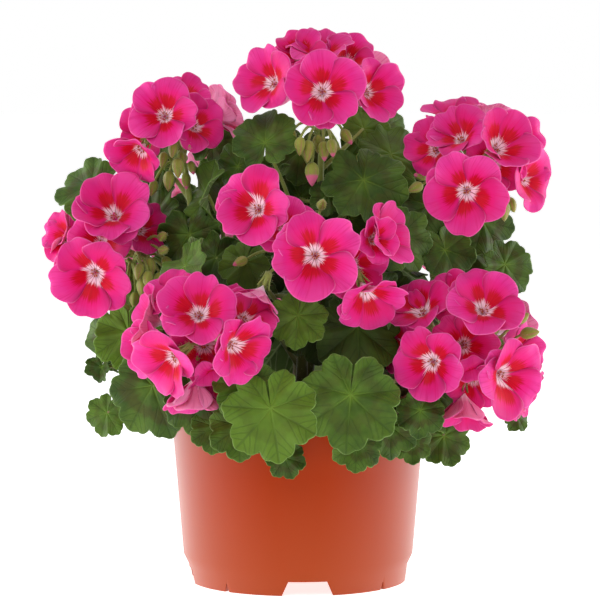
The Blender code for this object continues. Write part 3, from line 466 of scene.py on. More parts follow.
# Rear and inner leaves, set out over a dome
DOME_CENTRE = Vector((0.0, 0.0, 128.0))
DOME_WIDTH = 84.0
DOME_HEIGHT = 78.0
SIDE_WIDTH = 74.0
GOLDEN_TURN = math.radians(137.508)
REAR_LEAVES = 14
REAR_LEVELS = (-0.45, 0.70)
REAR_NARROWING = 2.15
SIDE_LEVELS = (-0.42, 0.12, -0.2, 0.38)
SIDE_TURNS = (-4.0, -13.0)
SIDE_LEAF_RADIUS = 20.0
REAR_LEAF_RADIUS = (19.0, 25.0)

# Leaves deep in the bush, which close it to the eye and stand behind the placed ones
INNER_LEAVES = {
    "crown": [
        Leaf(318, 182, 16, 17, 0, 16, -90),
        Leaf(285, 176, 20, 16, -8, 14, -100),
        Leaf(350, 224, 10, 18, 4, 14, -90),
        Leaf(342, 216, 34, 20, 0, 10, -80),
        Leaf(384, 128, 26, 15, 14, 26, 40),
    ],
    "upper_left": [
        Leaf(160, 166, 14, 13, -20, 15, 150),
        Leaf(226, 168, 24, 16, -12, 20, 120),
        Leaf(196, 214, 10, 16, -16, 10, -100),
    ],
    "left": [
        Leaf(130, 288, 6, 15, -20, 10, -110),
        Leaf(150, 250, 16, 17, -20, 12, -120),
    ],
    "centre": [
        Leaf(272, 262, -18, 17, -5, 10, -90),
        Leaf(420, 272, -10, 16, 15, 10, -60),
        Leaf(318, 330, -40, 18, 0, 10, -90),
        Leaf(214, 262, -6, 16, -16, 10, -110),
        Leaf(424, 264, 14, 18, 15, 10, -70),
        Leaf(386, 300, -20, 17, 12, 8, -80),
    ],
    "upper_right": [
        Leaf(428, 236, 6, 17, 16, 14, -70),
        Leaf(486, 226, 10, 17, 22, 14, -60),
        Leaf(410, 160, 20, 15, 14, 26, 60),
    ],
    "lower_left": [
        Leaf(196, 404, -48, 17, -10, 8, -90),
        Leaf(240, 430, -58, 16, -6, 10, -90),
        Leaf(180, 330, -20, 18, -18, 8, -100),
    ],
    "lower_right": [
        Leaf(460, 330, -14, 17, 12, 10, -60),
        Leaf(440, 400, -34, 17, 14, 8, -80),
        Leaf(498, 350, 2, 16, 24, 8, -70),
        Leaf(390, 430, -58, 15, 8, 8, -90),
    ],
}

# Flowers half hidden behind the placed ones, which close each head
INNER_FLOWERS = {
    "crown": [Flower(302, 62, 16, 16, -10, 40, 5), Flower(343, 66, 20, 16, 20, 40, 5)],
    "upper_left": [
        Flower(151, 131, -4, 15, -20, 0, 5),
        Flower(190, 128, 2, 16.5, 25, 15, 5),
        Flower(182, 107, 12, 15, 10, 50, 5),
    ],
    "left": [
        Flower(103, 246, -10, 18, -10, 10, 6),
        Flower(134, 232, 0, 16, 40, 20, 5),
        Flower(74, 238, 4, 15, -50, 10, 5),
    ],
    "centre": [
        Flower(286, 232, -50, 17, 0, 20, 6, 84),
        Flower(350, 262, -56, 17.5, 15, -10, 5, 80),
        Flower(369, 240, -66, 13, 30, 5, 5, 82),
    ],
    "upper_right": [
        Flower(490, 166, -12, 18, 5, 5, 6),
        Flower(440, 152, -4, 16, -35, 15, 5),
        Flower(512, 146, 8, 16, 40, 20, 5),
    ],
    "lower_left": [
        Flower(204, 345, -68, 20, 0, 0, 6),
        Flower(160, 346, -62, 16, -40, -5, 5),
        Flower(240, 322, -70, 16, 25, 20, 5),
        Flower(178, 304, -60, 15, -30, 40, 5),
        Flower(216, 370, -72, 15, 5, -35, 5),
    ],
    "lower_right": [
        Flower(463, 345, -40, 19, 0, 5, 6),
        Flower(472, 374, -42, 17, 5, -25, 5),
        Flower(452, 306, -30, 16, -10, 40, 5),
        Flower(508, 352, -24, 16, 45, 5, 5),
        Flower(410, 346, -40, 15, -50, 5, 5),
    ],
}

# Young buds among the placed ones
INNER_BUDS = {
    "crown": [
        Bud(300, 146, -20, 10, -20, -80),
        Bud(332, 148, -20, 10, 20, -70),
        Bud(342, 166, -6, 12, 30, -80),
        Bud(318, 144, -6, 10, 0, -80),
    ],
    "upper_left": [
        Bud(182, 158, -8, 8, 20, -50),
        Bud(163, 160, -6, 9, -30, -70),
        Bud(186, 181, 0, 9, 20, -80),
        Bud(192, 168, -2, 8, 30, -60),
    ],
    "left": [
        Bud(139, 272, -18, 10, -20, -60),
        Bud(172, 284, -10, 10, 30, -60),
        Bud(153, 298, -8, 10, 0, -85),
        Bud(135, 301, -6, 10, -20, -80),
        Bud(164, 250, -16, 9, 30, 10),
        Bud(177, 272, -2, 9, 50, -40),
        Bud(128, 286, -4, 9, -30, -70),
        Bud(148, 280, -20, 10, 0, -75),
    ],
    "upper_right": [Bud(512, 205, -8, 9, 30, -60), Bud(420, 176, 0, 9, -50, 10)],
    "lower_right": [Bud(522, 318, -28, 10, 50, 30), Bud(500, 300, -30, 9, 20, 50)],
}
# The viewpoint


@dataclass(frozen=True)
class Viewpoint:
    """The place that the near side is seen from, in mm and radians."""

    distance: float = 1500.0
    elevation: float = math.radians(4.0)
    aim: tuple[float, float, float] = (1.0, 0.0, 144.5)
    pixel: float = 0.515
    middle: float = 300.0
    sensor: float = 36.0

    def forward(self) -> Vector:
        """Direction of sight."""
        return Vector((0.0, math.cos(self.elevation), -math.sin(self.elevation)))

    def eye(self) -> Vector:
        """Where the viewpoint is."""
        return Vector(self.aim) - self.forward() * self.distance

    def seen(self, across: float, down: float, depth: float) -> Vector:
        """Point at a depth on the line of sight through a place in the picture.

        Args:
            across: Place across the picture.
            down: Place down the picture.
            depth: Depth behind the pot's axis in mm.

        Returns:
            The point in mm.
        """
        up = Vector((0.0, math.sin(self.elevation), math.cos(self.elevation)))
        ray = self.forward() * self.distance
        ray = ray + Vector((1.0, 0.0, 0.0)) * ((across - self.middle) * self.pixel)
        ray = ray + up * ((self.middle - down) * self.pixel)
        return self.eye() + ray * ((depth - self.eye().y) / ray.y)

    def lens(self) -> float:
        """Focal length that makes the picture as wide as it is."""
        return self.sensor * self.distance / (2 * self.middle * self.pixel)


VIEW = Viewpoint()


def facing(turn: float, tilt: float) -> Vector:
    """Direction for a turn to the right of the front and a tilt upwards, in degrees."""
    turn = math.radians(turn)
    tilt = math.radians(tilt)
    flat = math.cos(tilt)
    return Vector((math.sin(turn) * flat, -math.cos(turn) * flat, math.sin(tilt)))


def square_to(axis: Vector, hint: Vector) -> Vector:
    """Unit direction square to an axis, as close as can be to a hint."""
    side = hint - axis * hint.dot(axis)
    if side.length < 1e-6:
        side = Vector((1.0, 0.0, 0.0)).cross(axis)
    return side.normalized()


def leant(axis: Vector, turn: float, rise: float) -> Vector:
    """Direction turned to the side and raised by angles in degrees."""
    side = Vector((-axis.y, axis.x, 0.0))
    side = side.normalized() if side.length > 0.05 else Vector((1.0, 0.0, 0.0))
    aim = Matrix.Rotation(math.radians(turn), 3, "Z") @ axis
    return (Matrix.Rotation(math.radians(rise), 3, -side) @ aim).normalized()


def bow(start: Vector, end: Vector, middle: Vector, count: int) -> Route:
    """Points along a quadratic curve that is drawn towards its middle point."""
    points = []
    for i in range(count + 1):
        t = i / count
        points.append(start * (1 - t) ** 2 + middle * (2 * t * (1 - t)) + end * t ** 2)
    return points


# Coarse solids, to find the room with


def tube(path: Route, radii: Sequence[float], sides: int) -> Solid:
    """Closed tube along a path, with one radius for each of its points."""
    points = []
    faces = []
    tangent = (path[1] - path[0]).normalized()
    side = square_to(tangent, Vector((0.31, 0.2, 0.93)))
    count = len(path)
    for i in range(count):
        ahead = path[min(i + 1, count - 1)] - path[max(i - 1, 0)]
        tangent = ahead.normalized()
        side = square_to(tangent, side)
        across = tangent.cross(side)
        for k in range(sides):
            angle = 2 * math.pi * k / sides
            spoke = side * math.cos(angle) + across * math.sin(angle)
            points.append(path[i] + spoke * radii[i])
    for i in range(count - 1):
        for k in range(sides):
            a = i * sides + k
            b = i * sides + (k + 1) % sides
            faces.append((a, b, b + sides))
            faces.append((a, b + sides, a + sides))
    last = (count - 1) * sides
    for k in range(1, sides - 1):
        faces.append((0, k + 1, k))
        faces.append((last, last + k, last + k + 1))
    return points, faces


def spindle(start: Vector, axis: Vector, profile: Sequence[tuple[float, float]], sides: int) -> Solid:
    """Closed turned shape from (height, radius) pairs, pointed at both ends."""
    side = square_to(axis, Vector((0.21, 0.95, 0.17)))
    across = axis.cross(side)
    points = [start + axis * profile[0][0]]
    for height, radius in profile[1:-1]:
        for k in range(sides):
            angle = 2 * math.pi * k / sides
            spoke = side * math.cos(angle) + across * math.sin(angle)
            points.append(start + axis * height + spoke * radius)
    points.append(start + axis * profile[-1][0])
    rings = len(profile) - 2
    faces = []
    for k in range(sides):
        after = (k + 1) % sides
        faces.append((0, 1 + after, 1 + k))
        for ring in range(rings - 1):
            a = 1 + ring * sides + k
            b = 1 + ring * sides + after
            faces.append((a, b, b + sides))
            faces.append((a, b + sides, a + sides))
        top = 1 + (rings - 1) * sides
        faces.append((top + k, top + after, len(points) - 1))
    return points, faces


def lens(sheet: Route, edge: set, triangles: Sequence, normal: Vector, thickness: float) -> Solid:
    """Closed blade: edge points are shared, the others are moved to both faces."""
    points = list(sheet)
    under = {}
    for i in range(len(sheet)):
        if i in edge:
            under[i] = i
        else:
            under[i] = len(points)
            points.append(sheet[i] - normal * (thickness / 2))
            points[i] = sheet[i] + normal * (thickness / 2)
    faces = list(triangles)
    for a, b, c in triangles:
        faces.append((under[c], under[b], under[a]))
    return points, faces


def turned(profile: Sequence[tuple[float, float]], segments: int) -> Solid:
    """Closed turned surface, from its top pole down the outside and up the inside."""
    points = [Vector((0.0, 0.0, profile[0][1]))]
    for radius, height in profile[1:-1]:
        for k in range(segments):
            angle = 2 * math.pi * (k + 0.5) / segments
            points.append(Vector((radius * math.cos(angle), radius * math.sin(angle), height)))
    points.append(Vector((0.0, 0.0, profile[-1][1])))
    faces = []
    rings = len(profile) - 2
    last = len(points) - 1
    for k in range(segments):
        after = (k + 1) % segments
        faces.append((0, 1 + k, 1 + after))
        for ring in range(rings - 1):
            a = 1 + ring * segments
            b = a + segments
            faces.append((a + k, b + k, b + after, a + after))
        end = 1 + (rings - 1) * segments
        faces.append((end + k, last, end + after))
    return points, faces


def petal_curve(length: float, opening: float, along: float, beside: float, rise: float) -> tuple:
    """Reach outwards and lift of a petal's point; works on arrays too.

    Args:
        length: Length along the petal's curve.
        opening: Angle from the axis at the petal's tip, in degrees.
        along: Share of the length.
        beside: Offset in mm beside the petal's middle line.
        rise: Angle from the axis at the petal's base, in degrees.

    Returns:
        Reach, lift and the angle that the petal has there, in mm and radians.
    """
    first = math.radians(rise)
    last = math.radians(opening)
    turn = first + (last - first) * along
    reach = length * (math.cos(first) - np.cos(turn)) / (last - first)
    height = length * (np.sin(turn) - math.sin(first)) / (last - first)
    curl = BLOOM.curl * beside * beside / length
    return reach, height + curl + BLOOM.roll * beside, turn


def petal_point(
    throat: Vector,
    axis: Vector,
    outward: Vector,
    length: float,
    opening: float,
    along: float,
    beside: float,
    rise: float = BLOOM.rise,
) -> Vector:
    """Point of a petal, in mm, that grows outward from a throat and faces along its axis."""
    reach, lift, turn = petal_curve(length, opening, along, beside, rise)
    across = axis.cross(outward)
    return throat + outward * float(reach) + axis * float(lift) + across * beside


PETAL_TRIANGLES = (
    (0, 2, 1), (0, 3, 2), (1, 2, 5), (1, 5, 4), (2, 3, 6), (2, 6, 5),
    (4, 5, 7), (5, 8, 7), (5, 6, 8),
)
PETAL_EDGE = {0, 1, 3, 4, 6, 7, 8}


def inner_petal(
    throat: Vector, axis: Vector, outward: Vector, length: float, opening: float, swell: float
) -> Solid:
    """One closed inner petal, which stands up from the calyx."""
    half = length * BLOOM.half
    rows = ((0.45, (-0.5, 0.0, 0.5)), (0.78, (-0.95, 0.0, 0.95)), (1.0, (-0.5, 0.5)))
    sheet = [throat - axis * BLOOM.sunk + outward * 0.4]
    base = throat + axis * BLOOM.inner_lift
    for along, places in rows:
        for place in places:
            beside = place * (half + swell)
            stretched = length + swell * along
            sheet.append(
                petal_point(base, axis, outward, stretched, opening, along, beside, BLOOM.inner_rise)
            )
    normal = (sheet[4] - sheet[2]).cross(sheet[6] - sheet[2]).normalized()
    if normal.dot(axis) < 0:
        normal = -normal
    triangles = PETAL_TRIANGLES
    first = (sheet[2] - sheet[0]).cross(sheet[1] - sheet[0])
    if first.dot(normal) < 0:
        triangles = tuple((x, z, y) for x, y, z in triangles)
    return lens(sheet, PETAL_EDGE, triangles, normal, BLOOM.thickness + 2 * swell)


def corolla(hub: Vector, throat: Vector, axis: Vector, lobes: Sequence, swell: float) -> Solid:
    """Outer petals, each rolled over the next, grown with their calyx and stalk.

    Args:
        hub: Where the stalk starts.
        throat: The flower's throat.
        axis: The way the flower faces.
        lobes: Outward direction, length and opening of each petal.
        swell: Room kept round it.

    Returns:
        Points and faces of a closed surface.
    """
    count = len(lobes)
    points = []
    sheet_faces = []
    points.append(throat + axis * 0.4)
    for outward, length, opening in lobes:
        points.append(throat + outward * (BLOOM.calyx_radius + swell) + axis * 1.2)
    mids = len(points)
    for outward, length, opening in lobes:
        points.append(petal_point(throat, axis, outward, length, opening, 0.62, 0.0))
    rims = len(points)
    for k in range(count):
        outward, length, opening = lobes[k]
        before = lobes[k - 1]
        between = (outward + before[0]).normalized()
        low = min(length, before[1])
        shut = (opening + before[2]) / 2
        notch = petal_point(throat, axis, between, low, shut, BLOOM.notch, 0.0)
        points.append(notch + between * swell)
        half = length * BLOOM.half + swell
        for along, place in ((0.74, -1.0), (1.0, -0.5), (1.0, 0.5), (0.74, 1.0)):
            stretched = length + swell
            beside = half * place
            points.append(petal_point(throat, axis, outward, stretched, opening, along, beside))
    for k in range(count):
        after = (k + 1) % count
        ring = 1 + k
        next_ring = 1 + after
        middle = mids + k
        notch = rims + 5 * k
        next_notch = rims + 5 * after
        sheet_faces.append((0, ring, next_ring))
        sheet_faces.append((ring, next_notch, next_ring))
        sheet_faces.append((ring, notch, middle))
        sheet_faces.append((ring, middle, next_notch))
        for step in range(4):
            sheet_faces.append((notch + step, notch + step + 1, middle))
        sheet_faces.append((notch + 4, next_notch, middle))
    top = list(points)
    faces = list(sheet_faces)
    under = {i: i for i in range(rims, len(points))}
    thickness = BLOOM.thickness + 2 * swell
    for i in range(1, rims):
        under[i] = len(top)
        if i < mids:
            top.append(points[i] - axis * (thickness + 0.4))
        else:
            outward = lobes[i - mids][0]
            lean = (axis - outward * 0.35).normalized()
            top.append(points[i] - lean * (thickness / 2))
            top[i] = points[i] + lean * (thickness / 2)
    for a, b, c in sheet_faces:
        if a != 0:
            faces.append((under[c], under[b], under[a]))
    neck = len(top)
    foot = throat - axis * BLOOM.calyx_length
    stalk = (foot - hub).normalized()
    for place, way in ((foot, (stalk + axis).normalized()), (hub, stalk)):
        for outward, length, opening in lobes:
            top.append(place + square_to(way, outward) * (SHOOT.pedicel + swell))
    for k in range(count):
        after = (k + 1) % count
        for upper, lower in ((under[1], neck), (neck, neck + count)):
            faces.append((upper + k, lower + k, lower + after))
            faces.append((upper + k, lower + after, upper + after))
    for k in range(1, count - 1):
        faces.append((neck + count, neck + count + k + 1, neck + count + k))
    return top, faces


@dataclass
class PetalPlan:
    """Where one petal goes: outward direction, length, tip angle, and inner or outer."""

    outward: Vector
    length: float
    opening: float
    inner: bool


def petal_plans(
    axis: Vector, radius: float, petals: int, opening: float, draw: random.Random
) -> list[PetalPlan]:
    """Plans of a flower's five outer petals and the smaller inner ones."""
    first = math.radians(BLOOM.rise)
    last = math.radians(opening)
    share = (math.cos(first) - math.cos(last)) / (last - first)
    length = radius / max(share, 0.45)
    side = square_to(axis, UP)
    across = axis.cross(side)
    start = draw.uniform(0.0, 2 * math.pi / BLOOM.outer)
    plans = []
    for k in range(BLOOM.outer):
        angle = start + 2 * math.pi * k / BLOOM.outer + draw.uniform(-0.07, 0.07)
        outward = side * math.cos(angle) + across * math.sin(angle)
        reach = length * draw.uniform(0.94, 1.03)
        plans.append(PetalPlan(outward, reach, opening + draw.uniform(-7, 6), False))
    for k in range(petals - BLOOM.outer):
        angle = start + (2 * math.pi / BLOOM.outer) * (0.5 + 2 * k)
        outward = side * math.cos(angle) + across * math.sin(angle)
        reach = length * BLOOM.inner_length
        plans.append(PetalPlan(outward, reach, opening - BLOOM.inner_opening, True))
    return plans


def flower_solids(
    hub: Vector, throat: Vector, axis: Vector, plans: Sequence[PetalPlan], swell: float = 0.0
) -> list[Solid]:
    """Coarse solids of one flower with its stalk."""
    lobes = [(p.outward, p.length, p.opening) for p in plans if not p.inner]
    solids = [corolla(hub, throat, axis, lobes, swell)]
    for plan in plans:
        if plan.inner:
            solids.append(
                inner_petal(throat, axis, plan.outward, plan.length, plan.opening, swell)
            )
    return solids


def leaf_outline(angle: float) -> float:
    """Reach of a leaf at an angle from its midrib, as a share of its half width."""
    span = math.pi - LEAF.sinus
    turns = LEAF.lobes * (angle + span) / (2 * span)
    lobe = 0.5 - 0.5 * np.cos(2 * math.pi * turns)
    return (0.99 + 0.16 * np.cos(angle)) * (1 - LEAF.lobe_depth + LEAF.lobe_depth * lobe)


def leaf_height(share: float, angle: float, shape: Shape) -> float:
    """Height of a leaf over its plane, as a share of its half width."""
    cup, wave, fold, phase = shape
    height = cup * share ** 2
    height = height + wave * share ** 1.5 * np.sin(3 * angle + phase)
    height = height + fold * share * abs(np.sin(angle))
    height = height - 0.10 * share ** 2 * np.cos(angle / 2) ** 2
    return height


def leaf_solid(
    attach: Vector, normal: Vector, midrib: Vector, radius: float, shape: Shape, swell: float = 0.0
) -> Solid:
    """One closed coarse kidney-shaped leaf with an open sinus."""
    across = normal.cross(midrib)
    span = math.pi - LEAF.sinus
    sheet = [attach]
    ring = LEAF.ring
    angles = []
    for k in range(ring):
        angles.append((span * LEAF.ring_span * (2 * k / (ring - 1) - 1), LEAF.ring_share))
    rim = 2 * LEAF.lobes + 1
    for k in range(rim):
        angles.append((span * (2 * k / (rim - 1) - 1), 1.0))
    for angle, share in angles:
        reach = float(leaf_outline(angle)) * share
        height = float(leaf_height(reach, angle, shape)) * radius
        out = reach * radius + swell
        flat = midrib * math.cos(angle) + across * math.sin(angle)
        sheet.append(attach + flat * out + normal * height)
    edge = {0} | {1 + ring + k for k in range(rim)}
    triangles = []
    for k in range(ring - 1):
        triangles.append((0, 1 + k, 2 + k))
    triangles.append((0, 1 + ring, 1))
    triangles.append((0, ring, ring + rim))
    i = 0
    j = 0
    while i < ring - 1 or j < rim - 1:
        inner = 1 + i
        outer = 1 + ring + j
        step_outer = i == ring - 1
        if not step_outer and j < rim - 1:
            step_outer = (j + 0.5) / (rim - 1) <= (i + 0.5) / (ring - 1)
        if step_outer:
            triangles.append((inner, outer, outer + 1))
            j += 1
        else:
            triangles.append((inner, outer, inner + 1))
            i += 1
    return lens(sheet, edge, triangles, normal, LEAF.thickness + 2 * swell)


def petiole_end(
    attach: Vector, normal: Vector, midrib: Vector, radius: float, shape: Shape
) -> Vector:
    """Place inside a leaf's thickness, a short way along its midrib."""
    share = 0.5 * float(leaf_outline(0.0))
    height = float(leaf_height(share, 0.0, shape))
    return attach + (midrib * share + normal * height) * (radius * LEAF.reach)


def bud_solid(
    root: Vector, knee: Vector, start: Vector, axis: Vector, length: float, swell: float = 0.0
) -> Solid:
    """One closed coarse bud on its curved stalk."""
    path = bow(root, start, knee, 2)
    path.append(start + axis * (0.5 * length))
    path.append(start + axis * length)
    radii = (SHOOT.bud_stalk, SHOOT.bud_stalk, 1.3, 0.22 * length, 0.3)
    return tube(path, [radius + swell for radius in radii], SHOOT.bud_sides)


def soil_plug() -> Solid:
    """Closed coarse plug of potting soil with a domed, uneven top."""
    low = POT.floor_top + SOIL.seat_gap
    top_inner = POT.rim_radius - POT.wall
    low_inner = POT.wall_radius(POT.floor_top) - POT.wall - 0.6
    share = (SOIL.top - POT.floor_top) / (POT.height - POT.floor_top)
    rim = low_inner + (top_inner - low_inner) * share - SOIL.wall_gap
    foot = low_inner - SOIL.wall_gap
    profile = [
        (0.0, SOIL.top + SOIL.dome),
        (rim * SOIL.ring, SOIL.top + SOIL.dome * (1 - SOIL.ring ** 2)),
        (rim, SOIL.top),
        (foot, low),
        (0.0, low),
    ]
    points, faces = turned(profile, SOIL.steps)
    bumps = random.Random(SEED)
    for i in range(1, 1 + SOIL.steps):
        points[i].z += bumps.uniform(-SOIL.bump, SOIL.bump)
    return points, faces


def limits(points: Route) -> tuple[list[float], list[float]]:
    """Lowest and highest corner of some points."""
    low = [min(p[i] for p in points) for i in range(3)]
    high = [max(p[i] for p in points) for i in range(3)]
    return low, high


class Room:
    """Keeps the surfaces that stand so far, and says what a new one would touch."""

    def __init__(self) -> None:
        """Starts empty."""
        self.kept: list[tuple] = []

    def add(self, node: str, solids: Sequence[Solid], blade: bool = False) -> None:
        """Remembers solids of a node, as blades or as stalks."""
        for points, faces in solids:
            low, high = limits(points)
            self.kept.append((node, blade, BVHTree.FromPolygons(points, faces), low, high))

    def touches(
        self, node: str, solid: Solid, own_blades: bool = False, only_blades: bool = False
    ) -> int:
        """Number of kept surfaces of other nodes that a solid meets.

        Args:
            node: The solid's own node, whose surfaces don't count.
            solid: Points and faces.
            own_blades: Whether the blades of its own node count too.
            only_blades: Whether nothing but blades counts.

        Returns:
            The number of surfaces met.
        """
        points, faces = solid
        low, high = limits(points)
        tree = None
        count = 0
        for other, blade, kept, kept_low, kept_high in self.kept:
            if other == node and not (blade and own_blades):
                continue
            if only_blades and not blade:
                continue
            if any(low[i] > kept_high[i] or high[i] < kept_low[i] for i in range(3)):
                continue
            if tree is None:
                tree = BVHTree.FromPolygons(points, faces)
            if tree.overlap(kept):
                count += 1
        return count


# Growing the plant


@dataclass
class Bloom:
    """A placed flower."""

    hub: Vector
    throat: Vector
    axis: Vector
    radius: float
    plans: list[PetalPlan]


@dataclass
class Tip:
    """A placed bud: root, knee and start of its stalk, and the way it points."""

    root: Vector
    knee: Vector
    start: Vector
    axis: Vector
    length: float


@dataclass
class Blade:
    """A placed leaf with the route of its stalk."""

    attach: Vector
    normal: Vector
    midrib: Vector
    radius: float
    shape: Shape
    route: Route


@dataclass
class Growth:
    """The whole plant as it is placed, by the name of each shoot."""

    room: Room = field(default_factory=Room)
    blooms: dict[str, list[Bloom]] = field(default_factory=dict)
    stems: dict[str, Route] = field(default_factory=dict)
    bracts: dict[str, float] = field(default_factory=dict)
    tips: dict[str, list[Tip]] = field(default_factory=dict)
    blades: dict[str, list[Blade]] = field(default_factory=dict)

    def grow(self) -> None:
        """Places everything, in the order in which the solids were placed."""
        names = list(SHOOTS) + list(REAR_HEADS)
        points, faces = turned(POT.profile()[::-1], POT.coarse_steps)
        self.room.add("pot", [(points, [tuple(reversed(face)) for face in faces])])
        for name in names:
            self.place_head(name)
        for name in names:
            self.place_stem(name)
            self.tips[name] = []
            self.blades[name] = []
        self.room.add("soil", [soil_plug()])
        for name, shoot in SHOOTS.items():
            self.place_bracts(name)
            self.place_buds(name, shoot.buds)
        self.place_leaves(self.leaf_rows(), random.Random(SEED + 1))
        deep = [row for name, leaves in INNER_LEAVES.items() for row in self.seen_rows(name, leaves)]
        self.place_leaves(deep, random.Random(SEED + 2))
        for name in INNER_BUDS:
            self.place_buds(name, INNER_BUDS[name])
        for name, flowers in INNER_FLOWERS.items():
            draw = random.Random("inner " + name)
            for one in flowers:
                throat = VIEW.seen(one.across, one.down, one.depth)
                axis = facing(one.turn, one.tilt)
                plans = petal_plans(axis, one.radius, one.petals, one.opening, draw)
                self.blooms[name].append(Bloom(self.hub(name), throat, axis, one.radius, plans))

    @staticmethod
    def hub(name: str) -> Vector:
        """Middle of a head, where all its stalks meet."""
        if name in SHOOTS:
            return VIEW.seen(*SHOOTS[name].hub)
        return Vector(REAR_HEADS[name][1])

    @staticmethod
    def foot(name: str) -> Vector:
        """Where a stem stands, on the soil's mean level."""
        foot = SHOOTS[name].foot if name in SHOOTS else REAR_HEADS[name][0]
        return Vector((foot[0], foot[1], SOIL.top))

    def flower_rows(self, name: str) -> list[tuple]:
        """Throat, facing, radius, petals and opening of each flower of a head."""
        rows = []
        if name in SHOOTS:
            for flower in SHOOTS[name].flowers:
                throat = VIEW.seen(flower.across, flower.down, flower.depth)
                axis = facing(flower.turn, flower.tilt)
                rows.append((throat, axis, flower.radius, flower.petals, flower.opening))
            return rows
        foot, hub, way, count = REAR_HEADS[name]
        hub = Vector(hub)
        way = Vector(way).normalized()
        side = square_to(way, UP)
        across = way.cross(side)
        first, other = REAR_OPENINGS
        rows.append((hub + way * REAR_STALK, way, REAR_FLOWER_RADIUS, BLOOM.outer + 1, first))
        for k in range(count - 1):
            angle = 2 * math.pi * (k + 0.25) / (count - 1)
            spoke = side * math.cos(angle) + across * math.sin(angle)
            axis = (way * math.cos(REAR_SPREAD) + spoke * math.sin(REAR_SPREAD)).normalized()
            radius = REAR_FLOWER_RADIUS * REAR_SMALLER
            rows.append((hub + axis * REAR_STALK, axis, radius, BLOOM.outer, other))
        return rows

    def place_head(self, name: str) -> None:
        """Places the flowers of one head, each turned clear of the others."""
        draw = random.Random(name)
        node = "head_" + name
        hub = self.hub(name)
        ball = [(-SHOOT.hub * 0.5, 0.0), (0.0, SHOOT.hub), (SHOOT.hub * 0.8, 0.0)]
        self.blooms[name] = []
        for throat, axis, radius, petals, opening in self.flower_rows(name):
            state = draw.getrandbits(30)
            best = None
            for push, turn, rise in FLOWER_TRIES:
                place = throat + (throat - hub).normalized() * push
                aim = leant(axis, turn, rise)
                plans = petal_plans(aim, radius, BLOOM.outer, opening, random.Random(state))
                near = place - aim * (BLOOM.calyx_length + 4.0)
                fat = flower_solids(near, place, aim, plans, CLEAR)
                hits = sum(self.room.touches("none", one, only_blades=True) for one in fat)
                if best is None or hits < best[0]:
                    best = (hits, place, aim)
                if hits == 0:
                    break
            hits, place, aim = best
            plans = petal_plans(aim, radius, petals, opening, random.Random(state))
            near = place - aim * (BLOOM.calyx_length + 4.0)
            self.room.add(node, flower_solids(near, place, aim, plans), blade=True)
            self.room.add(node, flower_solids(hub, place, aim, plans)[:1])
            self.blooms[name].append(Bloom(hub, place, aim, radius, plans))
        self.room.add(node, [spindle(hub, UP, ball, 6)])

    def stem_path(self, name: str, side_bend: float) -> Route:
        """Root in the soil, upright foot, and a bowed way up to the head's middle."""
        foot = self.foot(name)
        hub = self.hub(name)
        end = hub - Vector((0.0, 0.0, SHOOT.hub * 0.5 + SOIL.seat_gap + 0.9))
        out = Vector((hub.x - foot.x, hub.y - foot.y, 0.0))
        lower = foot + Vector((0.0, 0.0, SHOOT.upright))
        rise = max(hub.z - foot.z, 20.0)
        middle = foot + out * 0.72 + Vector((0.0, 0.0, rise * 0.42))
        if out.length > 1:
            middle = middle + Vector((-out.y, out.x, 0.0)).normalized() * side_bend
        path = [foot - Vector((0.0, 0.0, SHOOT.stem_depth)), lower]
        path.extend(bow(lower, end, middle, 5)[1:])
        return path

    def place_stem(self, name: str) -> None:
        """Bends a stem clear of the flowers and the other stems."""
        best = None
        for bend in SHOOT.bends:
            path = self.stem_path(name, bend)
            fat = tube(path, [r + CLEAR for r in SHOOT.radii], SHOOT.sides)
            hits = self.room.touches("shoot_" + name, fat)
            if best is None or hits < best[0]:
                best = (hits, path)
            if hits == 0:
                break
        self.stems[name] = best[1]
        self.room.add("shoot_" + name, [tube(best[1], SHOOT.radii, SHOOT.sides)])

    def collar(self, name: str) -> Vector:
        """Middle of the bracts under a head."""
        return self.hub(name) - Vector((0.0, 0.0, SHOOT.hub * 0.5 + SOIL.seat_gap + 1.0))

    def place_bracts(self, name: str) -> None:
        """Ring of bracts under a head, as wide as there is room."""
        node = "shoot_" + name
        collar = self.collar(name)
        for extra in SHOOT.bract_reaches:
            ring = [(-2.4, 0.0), (-0.6, SHOOT.hub + extra), (0.5, 0.0)]
            bract = spindle(collar, UP, ring, 6)
            if self.room.touches(node, bract) == 0:
                self.bracts[name] = SHOOT.hub + extra
                self.room.add(node, [bract])
                break

    def place_buds(self, name: str, buds: Sequence[Bud]) -> None:
        """Buds of a head on curved stalks."""
        node = "shoot_" + name
        collar = self.collar(name)
        for bud in buds:
            tip = self.bud_place(node, collar, bud)
            if tip is not None:
                self.tips[name].append(tip)
                solid = bud_solid(tip.root, tip.knee, tip.start, tip.axis, tip.length)
                self.room.add(node, [solid], blade=True)

    def bud_place(self, node: str, collar: Vector, bud: Bud) -> Tip | None:
        """First place of a bud where it touches nothing, or None."""
        for shift in SHOOT.bud_shifts:
            middle = VIEW.seen(bud.across, bud.down, bud.depth + shift)
            axis = facing(bud.turn, bud.tilt)
            start = middle - axis * (bud.length / 2)
            for lift in SHOOT.bud_lifts:
                reach = start - collar
                knee = collar + reach * 0.55 + Vector((0.0, 0.0, lift))
                beside = Vector((reach.x, reach.y, 0.0)).normalized() * SHOOT.bud_root
                below = collar + beside - Vector((0.0, 0.0, 0.9))
                fat = bud_solid(below, knee, start, axis, bud.length, CLEAR)
                if self.room.touches(node, fat) == 0:
                    return Tip(below, knee, start, axis, bud.length)
        return None

    def nearest_stem(self, point: Vector) -> str:
        """Name of the stem that passes closest to a point."""
        best = None
        for name, path in self.stems.items():
            for place in path[2:]:
                gap = (place - point).length
                if best is None or gap < best[0]:
                    best = (gap, name)
        return best[1]

